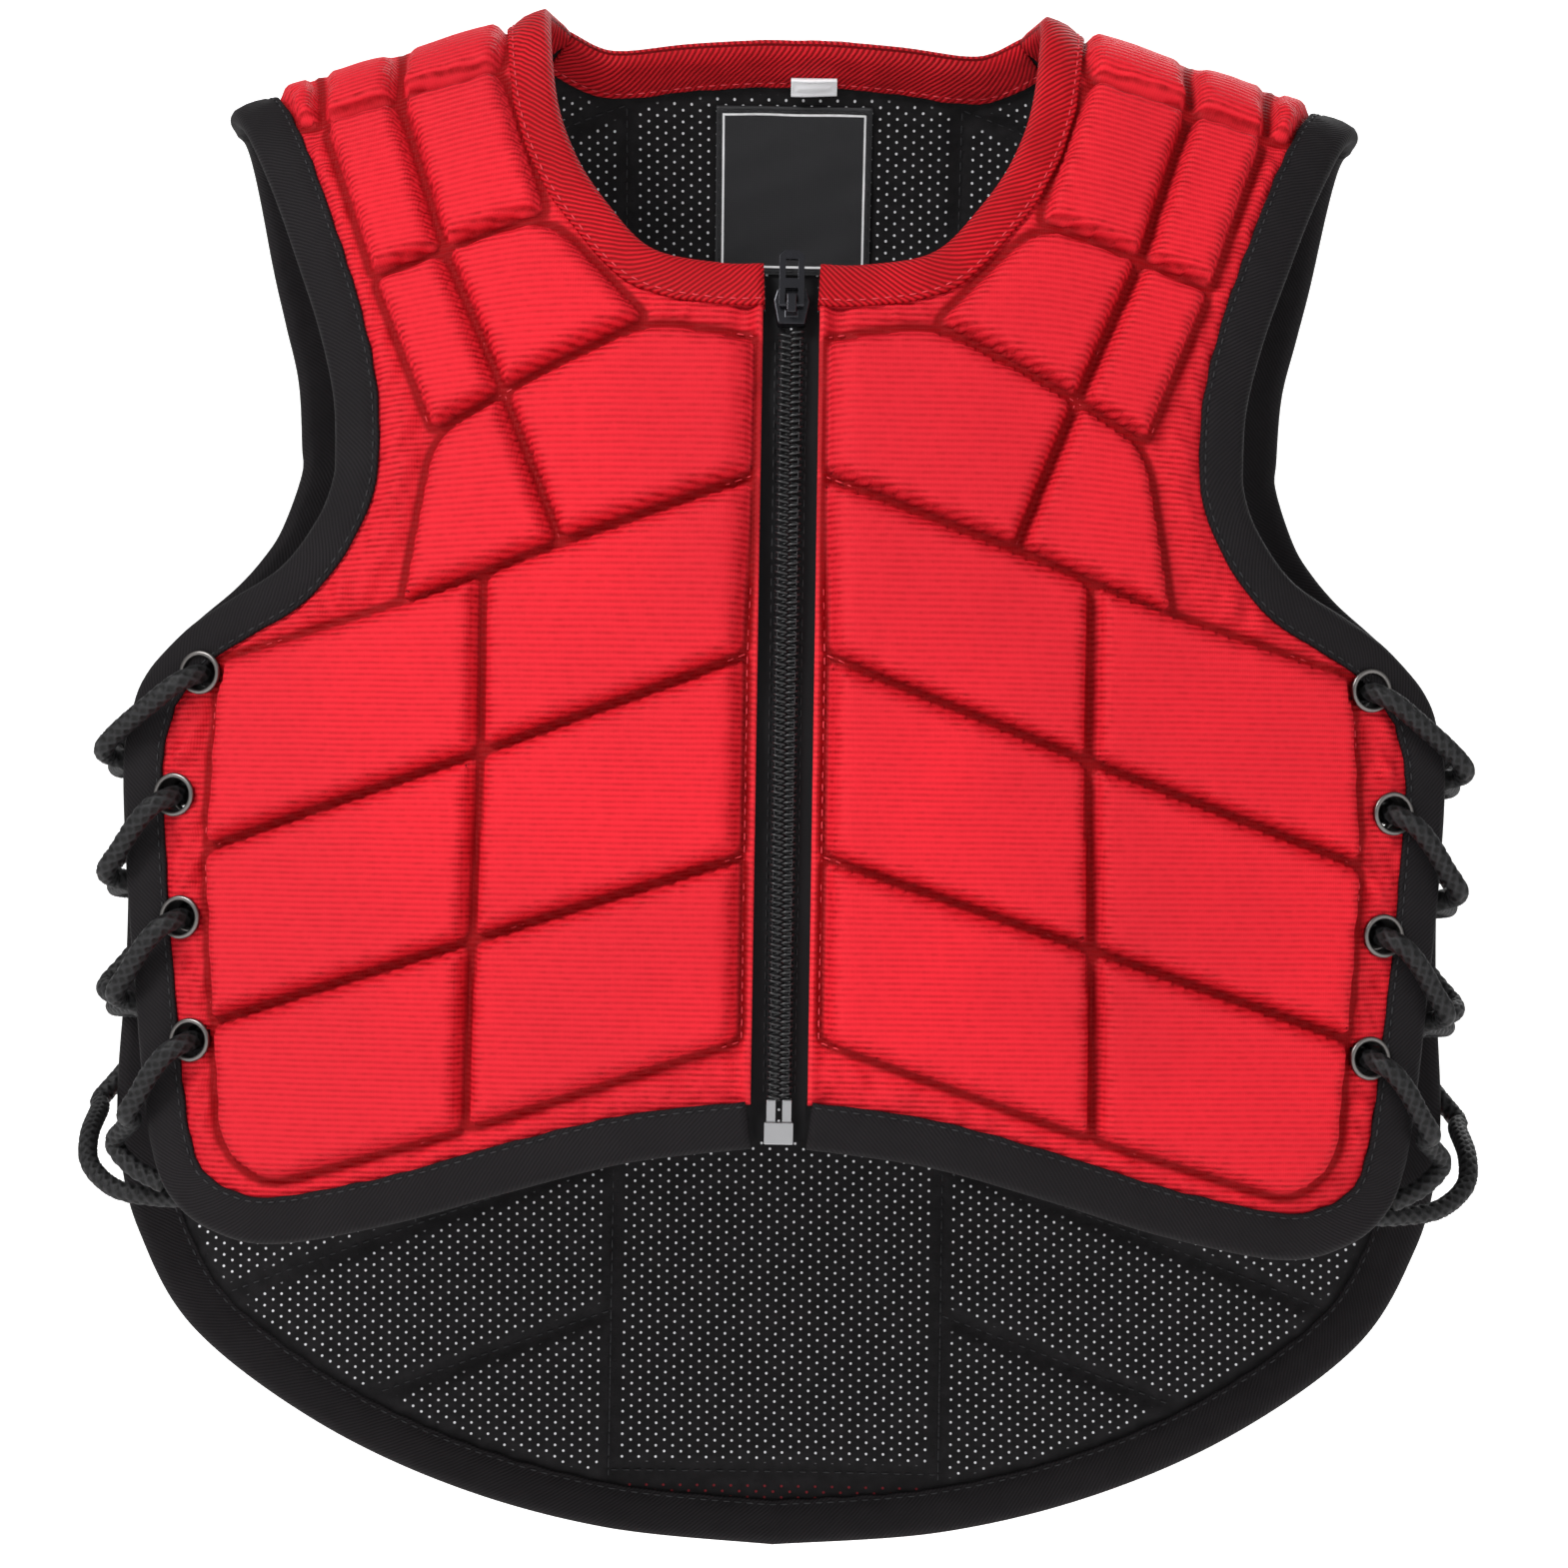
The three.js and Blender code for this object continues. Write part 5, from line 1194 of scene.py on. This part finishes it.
def zip_coil():
    """Two rows of coil loops that grip each other in the middle."""
    points = []
    faces = []
    turns = int((CHAIN_TOP - CHAIN_FOOT) / COIL_PITCH)
    t = np.arange(turns * COIL_STEPS + 1) / COIL_STEPS
    angle = 2 * math.pi * t
    for sign in (1, -1):
        s = sign * (COIL_MIDDLE + COIL_REACH * np.cos(angle))
        w = CHAIN_TOP - COIL_PITCH * (t + (0.5 if sign < 0 else 0)) - COIL_START
        join(points, faces, *tube(chart(s, w, COIL_HEIGHT * np.sin(angle)), COIL_WIRE, COIL_SIDES))
    obj = new_mesh("zip_coil_rows", points, faces, [MATERIALS["coil"]])
    dress(obj, "zip_coil", "zip_chain")


def zip_cords():
    """The sewn lines that hold the coil on its tapes."""
    runs = [(np.array([(s, CHAIN_TOP - 2), (s, CHAIN_FOOT + 1)]), high) for s, high in ZIP_SEWN]
    stitches("zip_stitches", runs, "thread_black", "zip_tape", FINE_THREAD)


def hard_pieces():
    for node, (size, metal) in METAL_PARTS.items():
        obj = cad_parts[node]
        obj.modifiers.new("weld", "WELD").merge_threshold = 0.00001
        bevel = obj.modifiers.new("bevel", "BEVEL")
        bevel.width = size * MM
        bevel.segments = 3
        bevel.limit_method = "ANGLE"
        bevel.angle_limit = math.radians(40)
        obj.data.materials[0] = MATERIALS[metal]
    for end, _ in PAIR:
        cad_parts[f"zip_tape{end}"].data.materials[0] = MATERIALS["tape"]


# Label and tag
def patch(name, width, top, length, low, high, material, slot, node, middle=0.0, step=0.8):
    """A small cloth patch inside the back, between two heights."""
    s_lines = lines(middle - width / 2, middle + width / 2, step)
    w_lines = lines(top, top + length, step)
    S, W = np.meshgrid(s_lines, w_lines, indexing="ij")
    rim = np.minimum(np.minimum(S - s_lines[0], s_lines[-1] - S), np.minimum(W - w_lines[0], w_lines[-1] - W))
    sag = 0.25 * waves(S, W, 16, 3) - 0.25 * bell(rim - 1.0, 0.6)
    keep = np.ones((len(s_lines) - 1, len(w_lines) - 1), bool)
    values = {"round": S - middle, "level": W - top - length / 2}
    obj = grid_solid(name, s_lines, w_lines, keep, np.full(S.shape, high), low - sag, values, [material])
    return dress(obj, slot, node)


def small_cloth():
    patch("label_cloth", 41.0, 29.0, 43.0, -3.5, -2.6, MATERIALS["label"], "label_fabric", "label_patch")
    frame_line = np.array([(-19.6, 29.9), (19.6, 29.9), (19.6, 71.1), (-19.6, 71.1), (-19.6, 29.9)])
    stitches("label_stitches", [(frame_line, -3.65)], "thread_black", "label_fabric", FINE_THREAD)
    patch("tag_ribbon", 12.0, 21.0, 4.4, -4.3, -3.2, MATERIALS["tag"], "tag_fabric", "neck_tag", 5.0, 0.4)


# Camera, floor and light
SCREEN = 1569
FOCAL_PX = 5850.0
SENSOR = 36.0
CAMERA_BACK = 1.5
CAMERA_HEIGHT = -0.1775
ROLL = math.radians(0.9)
FLOOR = -0.425
FLOOR_BACK = 2.2
FLOOR_CURVE = 0.8
FLOOR_RISE = 3.0
FLOOR_HALF = 4.0
FLOOR_STEPS = 16
WORLD_LIGHT = 0.42
FLOOR_GLOW = 0.6
# Area lights as (name, place, target, size in metres, watts)
LIGHTS = [
    ("key", (-1.0, -1.3, 1.1), (0, 0, -0.15), (0.7, 0.7), 36),
    ("fill", (1.3, -1.4, 0.4), (0, 0, -0.2), (1.0, 1.2), 5),
    ("back", (0.6, 1.4, 0.9), (0, 0, -0.15), (1.2, 0.8), 12),
]


def camera():
    data = bpy.data.cameras.new("camera")
    data.sensor_width = SENSOR
    data.lens = SENSOR * FOCAL_PX / SCREEN
    obj = bpy.data.objects.new("camera", data)
    turn = Matrix.Rotation(math.pi / 2, 4, "X") @ Matrix.Rotation(ROLL, 4, "Z")
    obj.matrix_world = Matrix.Translation((0, -CAMERA_BACK, CAMERA_HEIGHT)) @ turn
    bpy.context.scene.collection.objects.link(obj)
    bpy.context.scene.camera = obj


def area_light(name, place, target, size, power):
    data = bpy.data.lights.new(name, "AREA")
    data.shape = "RECTANGLE"
    data.size, data.size_y = size
    data.energy = power
    obj = bpy.data.objects.new(name, data)
    obj.location = place
    obj.rotation_euler = (Vector(target) - Vector(place)).to_track_quat("-Z", "Y").to_euler()
    bpy.context.scene.collection.objects.link(obj)


def studio():
    """A pale floor that curves up far behind, and soft light from the front and sides."""
    profile = [(-FLOOR_HALF, FLOOR)]
    for i in range(FLOOR_STEPS + 1):
        turn = math.pi / 2 * i / FLOOR_STEPS
        back = FLOOR_BACK + FLOOR_CURVE * math.sin(turn)
        profile.append((back, FLOOR + FLOOR_CURVE * (1 - math.cos(turn))))
    profile.append((FLOOR_BACK + FLOOR_CURVE, FLOOR + FLOOR_RISE))
    points = [(x, y, z) for y, z in profile for x in (-FLOOR_HALF, FLOOR_HALF)]
    faces = [[2 * i, 2 * i + 1, 2 * i + 3, 2 * i + 2] for i in range(len(profile) - 1)]
    paper = plain("floor_paper", (0.86, 0.86, 0.86), 0.9)
    surface = paper.node_tree.nodes["Principled BSDF"]
    surface.inputs["Emission Color"].default_value = (1, 1, 1, 1)
    surface.inputs["Emission Strength"].default_value = FLOOR_GLOW
    floor = new_mesh("floor", np.array(points) / MM, faces, [paper])
    world = bpy.data.worlds.new("studio")
    world.use_nodes = True
    sky = world.node_tree.nodes["Background"]
    sky.inputs["Color"].default_value = (1, 1, 1, 1)
    sky.inputs["Strength"].default_value = WORLD_LIGHT
    bpy.context.scene.world = world
    for light in LIGHTS:
        area_light(*light)


camera()
laces()
front_panels()
back_panels()
bindings()
seams()
eyelets()
zip_coil()
zip_cords()
hard_pieces()
small_cloth()
studio()

bpy.context.scene.view_settings.view_transform = "Standard"
